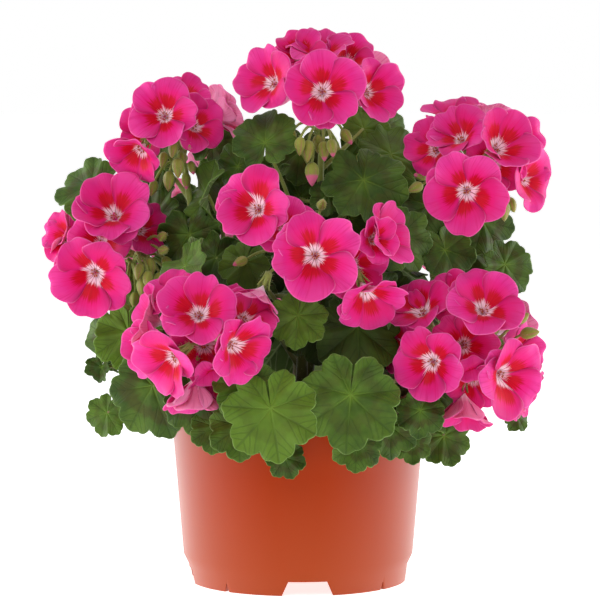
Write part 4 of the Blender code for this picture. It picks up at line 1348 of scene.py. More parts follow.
    @staticmethod
    def seen_rows(name: str, leaves: Sequence[Leaf]) -> list[tuple]:
        """Rows, as leaf_rows gives them, of leaves that are placed by sight."""
        rows = []
        for leaf in leaves:
            middle = VIEW.seen(leaf.across, leaf.down, leaf.depth)
            normal = facing(leaf.turn, leaf.tilt)
            tip = math.radians(leaf.tip)
            hint = Vector((math.cos(tip), 0.0, math.sin(tip)))
            away = (middle - VIEW.eye()).normalized()
            rows.append((name, middle, normal, hint, leaf.radius, leaf.fold, away))
        return rows

    def leaf_rows(self) -> list[tuple]:
        """Owner, middle, facing, tip direction, radius, fold and way back of every leaf."""
        rows = [row for name, shoot in SHOOTS.items() for row in self.seen_rows(name, shoot.leaves)]
        draw = random.Random(SEED)
        lowest, highest = REAR_LEVELS
        for k in range(REAR_LEAVES):
            turn = k * GOLDEN_TURN
            spread = math.pi * (((turn / math.pi) % 2) - 1) / REAR_NARROWING
            level = lowest + (highest - lowest) * (k + 0.5) / REAR_LEAVES
            azimuth = math.pi / 2 + spread
            flat = math.sqrt(max(0.0, 1 - (level * 0.95) ** 2))
            way = Vector((math.cos(azimuth) * flat, math.sin(azimuth) * flat, level))
            out = Vector((way.x * DOME_WIDTH, way.y * DOME_WIDTH, way.z * DOME_HEIGHT))
            middle = DOME_CENTRE + out
            radius = draw.uniform(*REAR_LEAF_RADIUS)
            normal = (way + Vector((0.0, 0.0, 0.35))).normalized()
            hint = Vector((way.x * 0.3 + draw.uniform(-0.5, 0.5), way.y * 0.3, -1.0))
            rows.append((self.nearest_stem(middle), middle, normal, hint, radius, 0.0, -normal))
        for side in (-1, 1):
            for k, level in enumerate(SIDE_LEVELS):
                azimuth = math.radians(SIDE_TURNS[0] + SIDE_TURNS[1] * k)
                flat = math.sqrt(1 - level ** 2)
                way = Vector((side * math.cos(azimuth) * flat, math.sin(azimuth) * flat, level))
                out = Vector((way.x * SIDE_WIDTH, way.y * SIDE_WIDTH, way.z * DOME_HEIGHT))
                middle = DOME_CENTRE + out
                normal = (way + Vector((side * 0.4, 0.0, 0.3))).normalized()
                hint = Vector((way.x * 0.2, draw.uniform(-0.5, 0.3), -1.0))
                owner = self.nearest_stem(middle)
                rows.append((owner, middle, normal, hint, SIDE_LEAF_RADIUS, 0.0, -normal))
        return rows

    @staticmethod
    def along(path: Route, place: float) -> Vector:
        """Point at a fractional place along a path's points."""
        place = min(max(place, 2.0), len(path) - 1.6)
        first = int(place)
        return path[first].lerp(path[first + 1], place - first)

    @staticmethod
    def leaf_tries(row: tuple) -> Iterator[tuple[Vector, Vector, Vector]]:
        """Poses of a leaf to try: shifted along its way back, then leant."""
        name, middle, normal, hint, radius, fold, away = row
        for lean in LEAF_LEANS:
            aim = leant(normal, *lean)
            midrib = square_to(aim, hint)
            for shift in LEAF_SHIFTS:
                yield middle + away * shift - midrib * (radius * 0.16), aim, midrib

    def petiole_tries(self, path: Route, first: float, end: Vector, normal: Vector) -> Iterator[Route]:
        """Routes of a leaf's stalk to try, from places along its stem."""
        for rung in (0, 0.8, -0.8, 1.6, -1.6, 2.4):
            start = self.along(path, first + rung)
            out = end - start
            aside = out.cross(UP) * 0.22
            for bend, swing in ((0.15, 0), (0.3, 0), (0.03, 0), (0.15, 1), (0.15, -1)):
                knee = start + out * 0.6 + Vector((0.0, 0.0, out.length * bend))
                knee = knee - normal * (out.length * 0.18) + aside * swing
                yield bow(start, end, knee, 2)

    def grow_leaf(self, row: tuple, shape: Shape, first: float, own: bool) -> Blade | None:
        """Stalk and blade of a leaf in the first pose that touches nothing, or None."""
        node = "shoot_" + row[0]
        path = self.stems[row[0]]
        radius = row[4]
        fat_radii = [r + CLEAR for r in SHOOT.petiole]
        for attach, normal, midrib in self.leaf_tries(row):
            blade = leaf_solid(attach, normal, midrib, radius, shape, CLEAR)
            if self.room.touches(node, blade, own):
                continue
            end = petiole_end(attach, normal, midrib, radius, shape)
            for route in self.petiole_tries(path, first, end, normal):
                if self.room.touches(node, tube(route, fat_radii, 3), own) == 0:
                    return Blade(attach, normal, midrib, radius, shape, route)
        return None

    def place_leaves(self, rows: Sequence[tuple], draw: random.Random) -> None:
        """Grows every leaf on a stalk from its stem, bent clear of other shoots."""
        for row in rows:
            name = row[0]
            cup = draw.uniform(-0.05, 0.16)
            wave = draw.uniform(0.05, 0.11)
            shape = (cup, wave, row[5], draw.uniform(0.0, 2 * math.pi))
            first = 3.1 + 0.37 * (len(self.blades[name]) % 9)
            leaf = self.grow_leaf(row, shape, first, True)
            if leaf is None:
                leaf = self.grow_leaf(row, shape, first, False)
            if leaf is None:
                continue
            self.blades[name].append(leaf)
            blade = leaf_solid(leaf.attach, leaf.normal, leaf.midrib, leaf.radius, leaf.shape)
            solids = [tube(leaf.route, SHOOT.petiole, 3), blade]
            self.room.add("shoot_" + name, solids, blade=True)


# Finishes


def linear(code: str) -> tuple[float, float, float, float]:
    """Turns an sRGB hex value to linear colour."""
    parts = [int(code[i : i + 2], 16) / 255 for i in (1, 3, 5)]
    parts = [c / 12.92 if c <= 0.04045 else ((c + 0.055) / 1.055) ** 2.4 for c in parts]
    return parts[0], parts[1], parts[2], 1.0


class Bench:
    """One material in the making."""

    def __init__(self, name: str) -> None:
        """Starts an empty material."""
        self.material = bpy.data.materials.new(name)
        self.material.use_nodes = True
        self.tree = self.material.node_tree
        self.tree.nodes.clear()

    def add(
        self, kind: str, *values, at: dict | None = None, out: int | str = 0,
        stops: Sequence = (), **settings,
    ) -> bpy.types.NodeSocket:
        """Adds a node with its settings and links.

        Args:
            kind: Kind of shader node.
            values: What goes into its first inputs: sockets, numbers or hex colours.
            at: What goes into inputs by name.
            out: The output that is wanted.
            stops: Places and hex colours of a colour ramp.
            settings: Properties of the node.

        Returns:
            The output socket.
        """
        node = self.tree.nodes.new("ShaderNode" + kind)
        for key, value in settings.items():
            setattr(node, key, value)
        for key, value in [*enumerate(values), *(at or {}).items()]:
            if isinstance(value, bpy.types.NodeSocket):
                self.tree.links.new(value, node.inputs[key])
            elif isinstance(value, str):
                node.inputs[key].default_value = linear(value)
            else:
                node.inputs[key].default_value = value
        if stops:
            ramp = node.color_ramp.elements
            while len(ramp) < len(stops):
                ramp.new(0.5)
            for element, (place, code) in zip(ramp, stops):
                element.position = place
                element.color = linear(code)
        return node.outputs[out] if node.outputs else None

    def finish(self, surface: bpy.types.NodeSocket) -> bpy.types.Material:
        """Joins the shader to the output and hands the material over."""
        self.add("OutputMaterial", surface)
        return self.material


def painted_bush_shade(b: Bench, body: bpy.types.NodeSocket) -> bpy.types.NodeSocket:
    """Paints shade onto what grows deep in the bush, mixing in a near black towards the dome's middle.

    Args:
        b: The material in the making.
        body: Its colour.

    Returns:
        The colour, unchanged at the bush's outside.
    """
    where = b.add("TexCoord", out="Object")
    centre = tuple(c * MM for c in DOME_CENTRE)
    out = b.add("VectorMath", where, centre, operation="SUBTRACT")
    far = b.add("VectorMath", out, operation="LENGTH", out="Value")
    # painted shade: the nearer the dome's middle, the more near-black is mixed into the colour
    dark = b.add("MapRange", far, 0.042, 0.088, 0.62, 0.0, interpolation_type="SMOOTHSTEP")
    return b.add("MixRGB", dark, body, "#0A1204")


@dataclass(frozen=True)
class PetalSilk:
    """Living geranium petal, smooth and faintly velvety, with a red eye and a pale claw.

    Upper faces are a saturated magenta pink; the backs are the same pink under a pale,
    chalky skin, and light comes through both.
    """

    pink: str = "#DA2087"
    deep: str = "#BC0A62"
    rim: str = "#E654A4"
    # fold: painted shade, the deep crimson put beside the claws where petals shade each other
    fold: str = "#96003C"
    # painted highlight: pale pink for the thin lit line along each petal's edge
    painted_edge_highlight: str = "#F080BC"
    halo: str = "#E2006A"
    eye: str = "#E0002E"
    eye_dark: str = "#A4001A"
    claw: str = "#FDDCE8"
    streak: str = "#96183E"
    back: str = "#F08BB8"
    back_vein: str = "#DE5C96"
    roughness: float = 0.46
    subsurface: float = 0.22

    def upper(self) -> bpy.types.Material:
        """Face of a petal."""
        b = Bench("petal_face")
        place = b.add("Attribute", attribute_name="petal_place", out="Vector")
        across = b.add("SeparateXYZ", place)
        along = across.node.outputs[1]
        seed = across.node.outputs[2]
        spread = b.add("Math", along, 0.28, operation="ADD")
        fan = b.add("Math", across, spread, operation="DIVIDE")
        fanned = b.add("CombineXYZ", fan, along, seed)
        stretch = b.add("VectorMath", fanned, (16.0, 1.6, 61.0), operation="MULTIPLY")
        fine = b.add("TexNoise", at={"Vector": stretch, "Scale": 1.0, "Detail": 3.0})
        broad_in = b.add("VectorMath", place, (1.3, 1.6, 23.0), operation="MULTIPLY")
        broad = b.add("TexNoise", at={"Vector": broad_in, "Scale": 1.0, "Detail": 2.0})
        side = b.add("Math", across, across, operation="MULTIPLY")
        tip = b.add("MapRange", along, 0.45, 1.0, 0.0, 1.0)
        tip2 = b.add("Math", tip, tip, operation="MULTIPLY")
        edge = b.add("Math", side, tip2, operation="ADD")
        edge = b.add("Math", edge, broad, operation="MULTIPLY")
        body = b.add("MixRGB", edge, self.pink, self.rim, use_clamp=True)
        tint = b.add("MapRange", seed, 0.0, 1.0, 0.0, 0.55)
        body = b.add("MixRGB", tint, body, self.deep)
        vein = b.add("MapRange", fine, 0.50, 0.70, 0.0, 0.38, interpolation_type="SMOOTHSTEP")
        body = b.add("MixRGB", vein, body, self.deep)
        # painted shade: deep crimson on the flanks near the base, between overlapping petals
        flank = b.add("MapRange", side, 0.15, 0.90, 0.0, 1.0, interpolation_type="SMOOTHSTEP")
        low = b.add("MapRange", along, 0.80, 0.32, 0.0, 0.85, interpolation_type="SMOOTHSTEP")
        flank = b.add("Math", flank, low, operation="MULTIPLY")
        body = b.add("MixRGB", flank, body, self.fold)
        # painted highlight: a pale line along each petal's edge
        middle = b.add("MapRange", along, 0.0, 1.0, -1.0, 1.0)
        disc = b.add("CombineXYZ", across, middle, 0.0)
        disc = b.add("VectorMath", disc, operation="LENGTH", out="Value")
        painted_edge_highlight = b.add("MapRange", disc, 0.955, 1.0, 0.0, 0.45)
        body = b.add("MixRGB", painted_edge_highlight, body, self.painted_edge_highlight)
        rag = b.add("Math", fine, 0.5, operation="SUBTRACT")
        rag = b.add("Math", rag, 0.34, operation="MULTIPLY")
        start = b.add("MapRange", seed, 0.0, 1.0, 0.22, 0.33)
        eye_y = b.add("Math", along, start, operation="SUBTRACT")
        eye_y = b.add("Math", eye_y, rag, operation="SUBTRACT")
        eye_y = b.add("MapRange", eye_y, -0.12, 0.36, -1.0, 1.0, clamp=False)
        shift = b.add("Math", broad, 0.5, operation="SUBTRACT")
        shift = b.add("Math", shift, 1.1, operation="MULTIPLY")
        eye_x = b.add("Math", across, shift, operation="ADD")
        eye_x = b.add("Math", eye_x, 1.7, operation="MULTIPLY")
        eye_in = b.add("CombineXYZ", eye_x, eye_y, 0.0)
        eye_far = b.add("VectorMath", eye_in, operation="LENGTH", out="Value")
        halo = b.add("MapRange", eye_far, 2.1, 0.8, 0.0, 0.62, interpolation_type="SMOOTHSTEP")
        body = b.add("MixRGB", halo, body, self.halo)
        eye = b.add("MapRange", eye_far, 1.15, 0.62, 0.0, 1.0, interpolation_type="SMOOTHSTEP")
        heart = b.add("MixRGB", fine, self.eye, self.eye_dark)
        body = b.add("MixRGB", eye, body, heart)
        past = b.add("Math", along, start, operation="SUBTRACT")
        past = b.add("Math", past, rag, operation="ADD")
        claw = b.add("MapRange", past, 0.045, -0.03, 0.0, 1.0, interpolation_type="SMOOTHSTEP")
        body = b.add("MixRGB", claw, body, self.claw)
        comb = b.add("Math", across, 2.2, operation="MULTIPLY")
        sway = b.add("Math", broad, 1.4, operation="MULTIPLY")
        comb = b.add("Math", comb, sway, operation="ADD")
        comb = b.add("Math", comb, operation="FRACT")
        comb = b.add("Math", comb, 0.5, operation="SUBTRACT")
        comb = b.add("Math", comb, operation="ABSOLUTE")
        line = b.add("MapRange", comb, 0.13, 0.03, 0.0, 0.9, interpolation_type="SMOOTHSTEP")
        rise = b.add("MapRange", along, 0.06, 0.15, 0.0, 1.0)
        fall = b.add("MapRange", past, 0.14, -0.02, 0.0, 1.0)
        line = b.add("Math", line, rise, operation="MULTIPLY")
        line = b.add("Math", line, fall, operation="MULTIPLY")
        body = b.add("MixRGB", line, body, self.streak)
        bump = b.add("Bump", at={"Height": fine, "Strength": 0.25, "Distance": 0.0004}, invert=True)
        return b.finish(b.add("BsdfPrincipled", body, at=self.skin(bump)))

    def under(self) -> bpy.types.Material:
        """Back of a petal."""
        b = Bench("petal_back")
        place = b.add("Attribute", attribute_name="petal_place", out="Vector")
        across = b.add("SeparateXYZ", place)
        along = across.node.outputs[1]
        spread = b.add("Math", along, 0.28, operation="ADD")
        fan = b.add("Math", across, spread, operation="DIVIDE")
        fanned = b.add("CombineXYZ", fan, along, across.node.outputs[2])
        stretch = b.add("VectorMath", fanned, (13.0, 1.3, 61.0), operation="MULTIPLY")
        fine = b.add("TexNoise", at={"Vector": stretch, "Scale": 1.0, "Detail": 3.0})
        vein = b.add("MapRange", fine, 0.5, 0.68, 0.0, 0.75, interpolation_type="SMOOTHSTEP")
        body = b.add("MixRGB", vein, self.back, self.back_vein)
        claw = b.add("MapRange", along, 0.32, 0.12, 0.0, 1.0)
        body = b.add("MixRGB", claw, body, self.claw)
        bump = b.add("Bump", at={"Height": fine, "Strength": 0.3, "Distance": 0.0004})
        return b.finish(b.add("BsdfPrincipled", body, at=self.skin(bump)))

    def skin(self, bump: bpy.types.NodeSocket) -> dict:
        """What both faces of a petal share."""
        return {
            "Roughness": self.roughness,
            "Normal": bump,
            "Subsurface Weight": self.subsurface,
            "Subsurface Radius": (0.9, 0.25, 0.4),
            "Subsurface Scale": 0.0012,
            "Sheen Weight": 0.03,
            "Specular IOR Level": 0.13,
        }


@dataclass(frozen=True)
class LeafSkin:
    """Zonal geranium leaf: downy, matt, with sunken veins and a faint horseshoe zone."""

    green: str = "#4E6A1E"
    young: str = "#66861F"
    dark: str = "#2F480F"
    zone: str = "#3E3810"
    vein: str = "#728F38"
    # crease: painted shade, dark green for the shadow in the folds along the veins
    crease: str = "#243814"
    edge: str = "#88A85A"
    under_green: str = "#7E9A5F"
    under_vein: str = "#A3B981"
    roughness: float = 0.52

    def veins(self, b: Bench, turns: bpy.types.NodeSocket, out: bpy.types.NodeSocket) -> tuple:
        """Main veins to each lobe, and the forks that leave them.

        Args:
            b: The material in the making.
            turns: Lobes passed on the way round the leaf.
            out: Share of the way from the stalk to the edge.

        Returns:
            Strength of the main veins and of their forks.
        """
        lobe = b.add("Math", turns, operation="FRACT")
        lobe = b.add("Math", lobe, 0.5, operation="SUBTRACT")
        lobe = b.add("Math", lobe, operation="ABSOLUTE")
        arc = b.add("Math", lobe, out, operation="MULTIPLY")
        arc = b.add("Math", arc, 0.84, operation="MULTIPLY")
        main = b.add("MapRange", arc, 0.030, 0.006, 0.0, 1.0, interpolation_type="SMOOTHSTEP")
        forks = None
        for start, slope in ((0.34, 0.52), (0.58, 0.62), (0.76, 0.8)):
            far = b.add("Math", out, start, operation="SUBTRACT")
            far = b.add("Math", far, slope, operation="MULTIPLY")
            gap = b.add("Math", arc, far, operation="SUBTRACT")
            gap = b.add("Math", gap, operation="ABSOLUTE")
            fork = b.add("MapRange", gap, 0.020, 0.004, 0.0, 0.7, interpolation_type="SMOOTHSTEP")
            forks = fork if forks is None else b.add("Math", forks, fork, operation="MAXIMUM")
        return main, forks

    def upper(self) -> bpy.types.Material:
        """Face of a leaf."""
        b = Bench("leaf_face")
        place = b.add("Attribute", attribute_name="leaf_place", out="Vector")
        turns = b.add("SeparateXYZ", place)
        out = turns.node.outputs[1]
        seed = turns.node.outputs[2]
        where = b.add("TexCoord", out="Object")
        cloud = b.add("TexNoise", at={"Vector": where, "Scale": 95.0, "Detail": 3.0})
        grain = b.add("TexNoise", at={"Vector": where, "Scale": 700.0, "Detail": 2.0})
        tone = b.add("MapRange", cloud, 0.35, 0.68, 0.0, 1.0)
        body = b.add("MixRGB", tone, self.dark, self.green)
        youth = b.add("MapRange", seed, 0.55, 1.0, 0.0, 0.62)
        body = b.add("MixRGB", youth, body, self.young)
        wander = b.add("Math", cloud, 0.5, operation="SUBTRACT")
        wander = b.add("Math", wander, 0.5, operation="MULTIPLY")
        ring = b.add("Math", out, wander, operation="ADD")
        ring = b.add("Math", ring, 0.56, operation="SUBTRACT")
        ring = b.add("Math", ring, operation="ABSOLUTE")
        zone = b.add("MapRange", ring, 0.20, 0.05, 0.0, 1.0, interpolation_type="SMOOTHSTEP")
        zoned = b.add("MapRange", seed, 0.0, 0.9, 0.70, 0.20)
        zone = b.add("Math", zone, zoned, operation="MULTIPLY")
        body = b.add("MixRGB", zone, body, self.zone)
        main, forks = self.veins(b, turns, out)
        # painted shade: dark lines along the main veins and their forks, for the shadow in the pleats
        grow = b.add("MapRange", out, 0.15, 0.5, 0.0, 0.30)
        crease = b.add("Math", main, forks, operation="MAXIMUM")
        crease = b.add("Math", crease, grow, operation="MULTIPLY")
        body = b.add("MixRGB", crease, body, self.crease)
        fade = b.add("MapRange", out, 0.05, 0.55, 0.45, 0.0)
        pale = b.add("Math", main, fade, operation="MULTIPLY")
        body = b.add("MixRGB", pale, body, self.vein)
        heart = b.add("MapRange", out, 0.26, 0.03, 0.0, 0.4, interpolation_type="SMOOTHSTEP")
        body = b.add("MixRGB", heart, body, self.young)
        edge = b.add("MapRange", out, 0.980, 1.0, 0.0, 0.42)
        body = b.add("MixRGB", edge, body, self.edge)
        # painted shade: darker deep in the bush
        body = painted_bush_shade(b, body)
        height = b.add("Math", main, forks, operation="MAXIMUM")
        height = b.add("Math", height, -0.8, operation="MULTIPLY")
        pile = b.add("Math", grain, 0.5, operation="MULTIPLY")
        height = b.add("Math", height, pile, operation="ADD")
        bump = b.add("Bump", at={"Height": height, "Strength": 0.55, "Distance": 0.0006})
        return b.finish(b.add("BsdfPrincipled", body, at=self.skin(bump)))

    def under(self) -> bpy.types.Material:
        """Back of a leaf, paler, with veins that stand out."""
        b = Bench("leaf_back")
        place = b.add("Attribute", attribute_name="leaf_place", out="Vector")
        turns = b.add("SeparateXYZ", place)
        out = turns.node.outputs[1]
        where = b.add("TexCoord", out="Object")
        cloud = b.add("TexNoise", at={"Vector": where, "Scale": 120.0, "Detail": 3.0})
        main, forks = self.veins(b, turns, out)
        body = b.add("MixRGB", cloud, self.under_green, self.green)
        vein = b.add("Math", main, forks, operation="MAXIMUM")
        # painted shade: darker deep in the bush
        body = painted_bush_shade(b, b.add("MixRGB", vein, body, self.under_vein))
        bump = b.add("Bump", at={"Height": vein, "Strength": 0.7, "Distance": 0.0006})
        return b.finish(b.add("BsdfPrincipled", body, at=self.skin(bump)))

    def skin(self, bump: bpy.types.NodeSocket) -> dict:
        """What both faces of a leaf share."""
        return {
            "Roughness": self.roughness,
            "Normal": bump,
            "Subsurface Weight": 0.10,
            "Subsurface Radius": (0.3, 0.8, 0.1),
            "Subsurface Scale": 0.0010,
            "Sheen Weight": 0.02,
            "Specular IOR Level": 0.20,
        }


@dataclass(frozen=True)
class Stalk:
    """Soft green stalk skin, olive with a red flush, corky at the foot."""

    green: str = "#7D8F35"
    pale: str = "#9AAB52"
    flush: str = "#8A5A3A"
    cork: str = "#6B5233"

    def skin(self) -> bpy.types.Material:
        """Stalk and sepal skin."""
        b = Bench("stalk_skin")
        where = b.add("TexCoord", out="Object")
        high = b.add("SeparateXYZ", where)
        streaks = b.add("VectorMath", where, (1.0, 1.0, 0.18), operation="MULTIPLY")
        grain = b.add("TexNoise", at={"Vector": streaks, "Scale": 700.0, "Detail": 3.0})
        cloud = b.add("TexNoise", at={"Vector": where, "Scale": 60.0, "Detail": 2.0})
        body = b.add("MixRGB", grain, self.green, self.pale)
        flush = b.add("MapRange", cloud, 0.52, 0.72, 0.0, 0.45)
        body = b.add("MixRGB", flush, body, self.flush)
        foot = b.add("MapRange", high.node.outputs[2], 0.125, 0.094, 0.0, 0.9)
        # painted shade: darker deep in the bush, on top of the corky foot
        body = painted_bush_shade(b, b.add("MixRGB", foot, body, self.cork))
        bump = b.add("Bump", at={"Height": grain, "Strength": 0.3, "Distance": 0.0003})
        skin = {"Roughness": 0.5, "Normal": bump, "Sheen Weight": 0.2, "Specular IOR Level": 0.35}
        return b.finish(b.add("BsdfPrincipled", body, at=skin))


@dataclass(frozen=True)
class BudSkin:
    """Downy sepals closed over a bud, olive yellow, with the petals' pink at the tip."""

    olive: str = "#A0A63A"
    green: str = "#76892F"
    pink: str = "#D9628C"
    seam: str = "#B5576A"

    def skin(self) -> bpy.types.Material:
        """Bud skin, read from place round, place along and ripeness."""
        b = Bench("bud_skin")
        place = b.add("Attribute", attribute_name="bud_place", out="Vector")
        turns = b.add("SeparateXYZ", place)
        along = turns.node.outputs[1]
        ripe = turns.node.outputs[2]
        ridge = b.add("Math", turns, operation="FRACT")
        ridge = b.add("Math", ridge, 0.5, operation="SUBTRACT")
        ridge = b.add("Math", ridge, operation="ABSOLUTE")
        seam = b.add("MapRange", ridge, 0.30, 0.48, 0.0, 0.8, interpolation_type="SMOOTHSTEP")
        where = b.add("TexCoord", out="Object")
        cloud = b.add("TexNoise", at={"Vector": where, "Scale": 420.0, "Detail": 3.0})
        body = b.add("MixRGB", cloud, self.green, self.olive)
        seamed = b.add("Math", seam, along, operation="MULTIPLY")
        body = b.add("MixRGB", seamed, body, self.seam)
        bare = b.add("Math", along, ripe, operation="ADD")
        bare = b.add("MapRange", bare, 1.05, 1.18, 0.0, 1.0, interpolation_type="SMOOTHSTEP")
        body = b.add("MixRGB", bare, body, self.pink)
        bump = b.add("Bump", at={"Height": cloud, "Strength": 0.3, "Distance": 0.0003})
        skin = {"Roughness": 0.5, "Normal": bump, "Sheen Weight": 0.2, "Specular IOR Level": 0.35}
        return b.finish(b.add("BsdfPrincipled", body, at=skin))


@dataclass(frozen=True)
class Plain:
    """A small part's finish, one colour broken by a fine mottle."""

    name: str
    light: str
    dark: str
    grain: float
    roughness: float

    def skin(self) -> bpy.types.Material:
        """Mottled skin, with its grain in mm."""
        b = Bench(self.name)
        where = b.add("TexCoord", out="Object")
        size = 1.0 / (self.grain * MM)
        mottle = b.add("TexNoise", at={"Vector": where, "Scale": size, "Detail": 4.0})
        tone = b.add("MapRange", mottle, 0.35, 0.65, 0.0, 1.0)
        body = b.add("MixRGB", tone, self.dark, self.light)
        bump = b.add(
            "Bump", at={"Height": mottle, "Strength": 0.4, "Distance": self.grain * MM * 0.4}
        )
        return b.finish(
            b.add("BsdfPrincipled", body, at={"Roughness": self.roughness, "Normal": bump})
        )


@dataclass(frozen=True)
class MouldedPot:
    """Injection-moulded polypropylene, terracotta coloured, satin, with faint flow marks."""

    clay: str = "#992D00"
    light: str = "#A03302"
    # painted reflection: lighter orange for the pale floor seen in the pot's lower wall
    floor_reflection_tint: str = "#B65A34"
    roughness: float = 0.32

    def skin(self) -> bpy.types.Material:
        """Satin wall with orange-peel too fine to see but for its soft gloss."""
        b = Bench("moulded_polypropylene")
        where = b.add("TexCoord", out="Object")
        flow_in = b.add("VectorMath", where, (1.0, 1.0, 0.25), operation="MULTIPLY")
        flow = b.add("TexNoise", at={"Vector": flow_in, "Scale": 40.0, "Detail": 3.0})
        peel = b.add("TexNoise", at={"Vector": where, "Scale": 1600.0, "Detail": 2.0})
        body = b.add("MixRGB", flow, self.clay, self.light)
        high = b.add("SeparateXYZ", where)
        # painted reflection: the wall grows lighter towards the bottom, as if lit by the pale floor
        painted_floor_reflection = b.add("MapRange", high.node.outputs[2], 0.060, 0.004, 0.0, 0.45)
        body = b.add("MixRGB", painted_floor_reflection, body, self.floor_reflection_tint)
        bump = b.add("Bump", at={"Height": peel, "Strength": 0.10, "Distance": 0.0002})
        facing = b.add("LayerWeight", 0.5, out="Facing")
        gloss = b.add("MapRange", facing, 0.10, 0.75, 0.10, 0.85)
        at = {
            "Roughness": self.roughness,
            "Normal": bump,
            "IOR": 1.49,
            "Specular IOR Level": gloss,
            "Subsurface Weight": 0.05,
            "Subsurface Scale": 0.002,
        }
        return b.finish(b.add("BsdfPrincipled", body, at=at))


# Making of meshes


def deselect() -> None:
    """Leaves object mode with nothing selected."""
    if bpy.context.object and bpy.context.object.mode != "OBJECT":
        bpy.ops.object.mode_set(mode="OBJECT")
    bpy.ops.object.select_all(action="DESELECT")


def grid_pattern(across: int, along: int) -> tuple[np.ndarray, list[tuple[int, ...]]]:
    """Flat square of quads from -1 to 1, modelled once and bent into every copy.

    Args:
        across: Quads across.
        along: Quads along.

    Returns:
        Points in two columns, and faces.
    """
    deselect()
    bpy.ops.mesh.primitive_grid_add(x_subdivisions=across, y_subdivisions=along, size=2.0)
    item = bpy.context.object
    points = np.array([v.co[:2] for v in item.data.vertices], float)
    faces = [tuple(p.vertices) for p in item.data.polygons]
    mesh = item.data
    bpy.data.objects.remove(item)
    bpy.data.meshes.remove(mesh)
    return points, faces


class Skin:
    """Gathers patches of surface in mm and makes one piece of them."""

    def __init__(self, name: str, place: str = "") -> None:
        """Starts an empty piece; place names the attribute that its finish reads."""
        self.name = name
        self.place = place
        self.points: list[np.ndarray] = []
        self.places: list[np.ndarray] = []
        self.faces: list[tuple[int, ...]] = []
        self.finishes: list[int] = []
        self.count = 0

    def add(
        self, points: np.ndarray, faces: Sequence, places: np.ndarray | None = None, finish: int = 0
    ) -> None:
        """Adds a patch.

        Args:
            points: Points in mm, one a row.
            faces: Faces as indices of the patch's points.
            places: What the finish reads at each point.
            finish: Which of the piece's finishes it has.
        """
        points = np.asarray(points, float).reshape(-1, 3)
        if places is None:
            places = np.zeros((len(points), 3))
        base = self.count
        self.points.append(points)
        self.places.append(places)
        self.faces.extend(tuple(base + i for i in face) for face in faces)
        self.finishes.extend([finish] * len(faces))
        self.count += len(points)

    def build(
        self, materials: Sequence, slot: Slot, thickness: float = 0.0, backed: bool = False
    ) -> bpy.types.Object:
        """Makes the piece, and gives open sheets their thickness.

        Args:
            materials: Its finishes.
            slot: The material slot; not used.
            thickness: Thickness in mm of an open sheet, or nothing for closed patches.
            backed: Whether the back of a sheet has the next finish.

        Returns:
            The object, riding on the plant.
        """
        mesh = bpy.data.meshes.new(self.name)
        points = np.concatenate(self.points) * MM
        mesh.from_pydata(points.tolist(), [], self.faces)
        mesh.polygons.foreach_set("material_index", self.finishes)
        mesh.polygons.foreach_set("use_smooth", [True] * len(self.faces))
        if self.place:
            data = mesh.attributes.new(self.place, "FLOAT_VECTOR", "POINT")
            data.data.foreach_set("vector", np.concatenate(self.places).astype(np.float32).ravel())
        for material in materials:
            mesh.materials.append(material)
        mesh.update()
        item = bpy.data.objects.new(self.name, mesh)
        bpy.context.scene.collection.objects.link(item)
        if thickness:
            deselect()
            item.select_set(True)
            bpy.context.view_layer.objects.active = item
            solid = item.modifiers.new("thickness", "SOLIDIFY")
            solid.thickness = thickness * MM
            solid.offset = -1.0
            solid.material_offset = 1 if backed else 0
            bpy.ops.object.modifier_apply(modifier=solid.name)
        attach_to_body(item, "root")
        LOG.info("%s: %d faces", self.name, len(item.data.polygons))
        return item


def rounded(path: Route, steps: int) -> Route:
    """Smooth curve through the points of a path (Catmull-Rom)."""
    points = [path[0] * 2 - path[1], *path, path[-1] * 2 - path[-2]]
    curve = []
    for i in range(1, len(points) - 2):
        a, b, c, d = points[i - 1 : i + 3]
        for k in range(steps):
            t = k / steps
            curve.append(
                (b * 2 + (c - a) * t + (a * 2 - b * 5 + c * 4 - d) * t ** 2
                 + (b * 3 - a - c * 3 + d) * t ** 3) * 0.5
            )
    curve.append(path[-1])
    return curve


def spread(values: Sequence[float], steps: int) -> list[float]:
    """Values at the points that rounded() sets between the given ones."""
    result = []
    for a, b in zip(values, values[1:]):
        result.extend(a + (b - a) * k / steps for k in range(steps))
    return [*result, values[-1]]


# The plant's parts


HAIR_LENGTH = (0.7, 1.3)
HAIR_WIDTH = 0.07
HAIR_FACES = ((0, 1, 2), (0, 3, 1), (1, 3, 2), (2, 3, 0))


def unit(v: Vector) -> np.ndarray:
    """A vector as an array of three."""
    return np.array((v.x, v.y, v.z))


def smooth(low: float, high: float, value: np.ndarray) -> np.ndarray:
    """Smooth step from 0 at low to 1 at high."""
    t = np.clip((value - low) / (high - low), 0.0, 1.0)
    return t * t * (3 - 2 * t)


def down(
    skin: Skin, path: Route, radii: Sequence[float], per_mm: float, draw: random.Random, finish: int
) -> None:
    """Adds fine hairs that stand off a stalk or a bud.

    Args:
        skin: The piece that the hairs belong to.
        path: Middle line of what they grow on.
        radii: Its radius at each point.
        per_mm: Hairs on a millimetre of its length.
        draw: Where places are drawn from.
        finish: Which of the piece's finishes they have.
    """
    for a, b, wide, narrow in zip(path, path[1:], radii, radii[1:]):
        step = b - a
        tangent = step.normalized()
        side = square_to(tangent, UP)
        across = tangent.cross(side)
        count = per_mm * step.length
        for _ in range(int(count) + (draw.random() < count % 1)):
            t = draw.random()
            angle = draw.uniform(0.0, 2 * math.pi)
            out = side * math.cos(angle) + across * math.sin(angle)
            root = a + step * t + out * ((wide + (narrow - wide) * t) * 0.95)
            way = (out + tangent * draw.uniform(-0.3, 0.5)).normalized()
            beside = tangent.cross(out) * HAIR_WIDTH
            foot = [root + tangent * HAIR_WIDTH, root + beside, root - beside]
            tip = root + way * draw.uniform(*HAIR_LENGTH)
            skin.add([*foot, tip], HAIR_FACES, finish=finish)


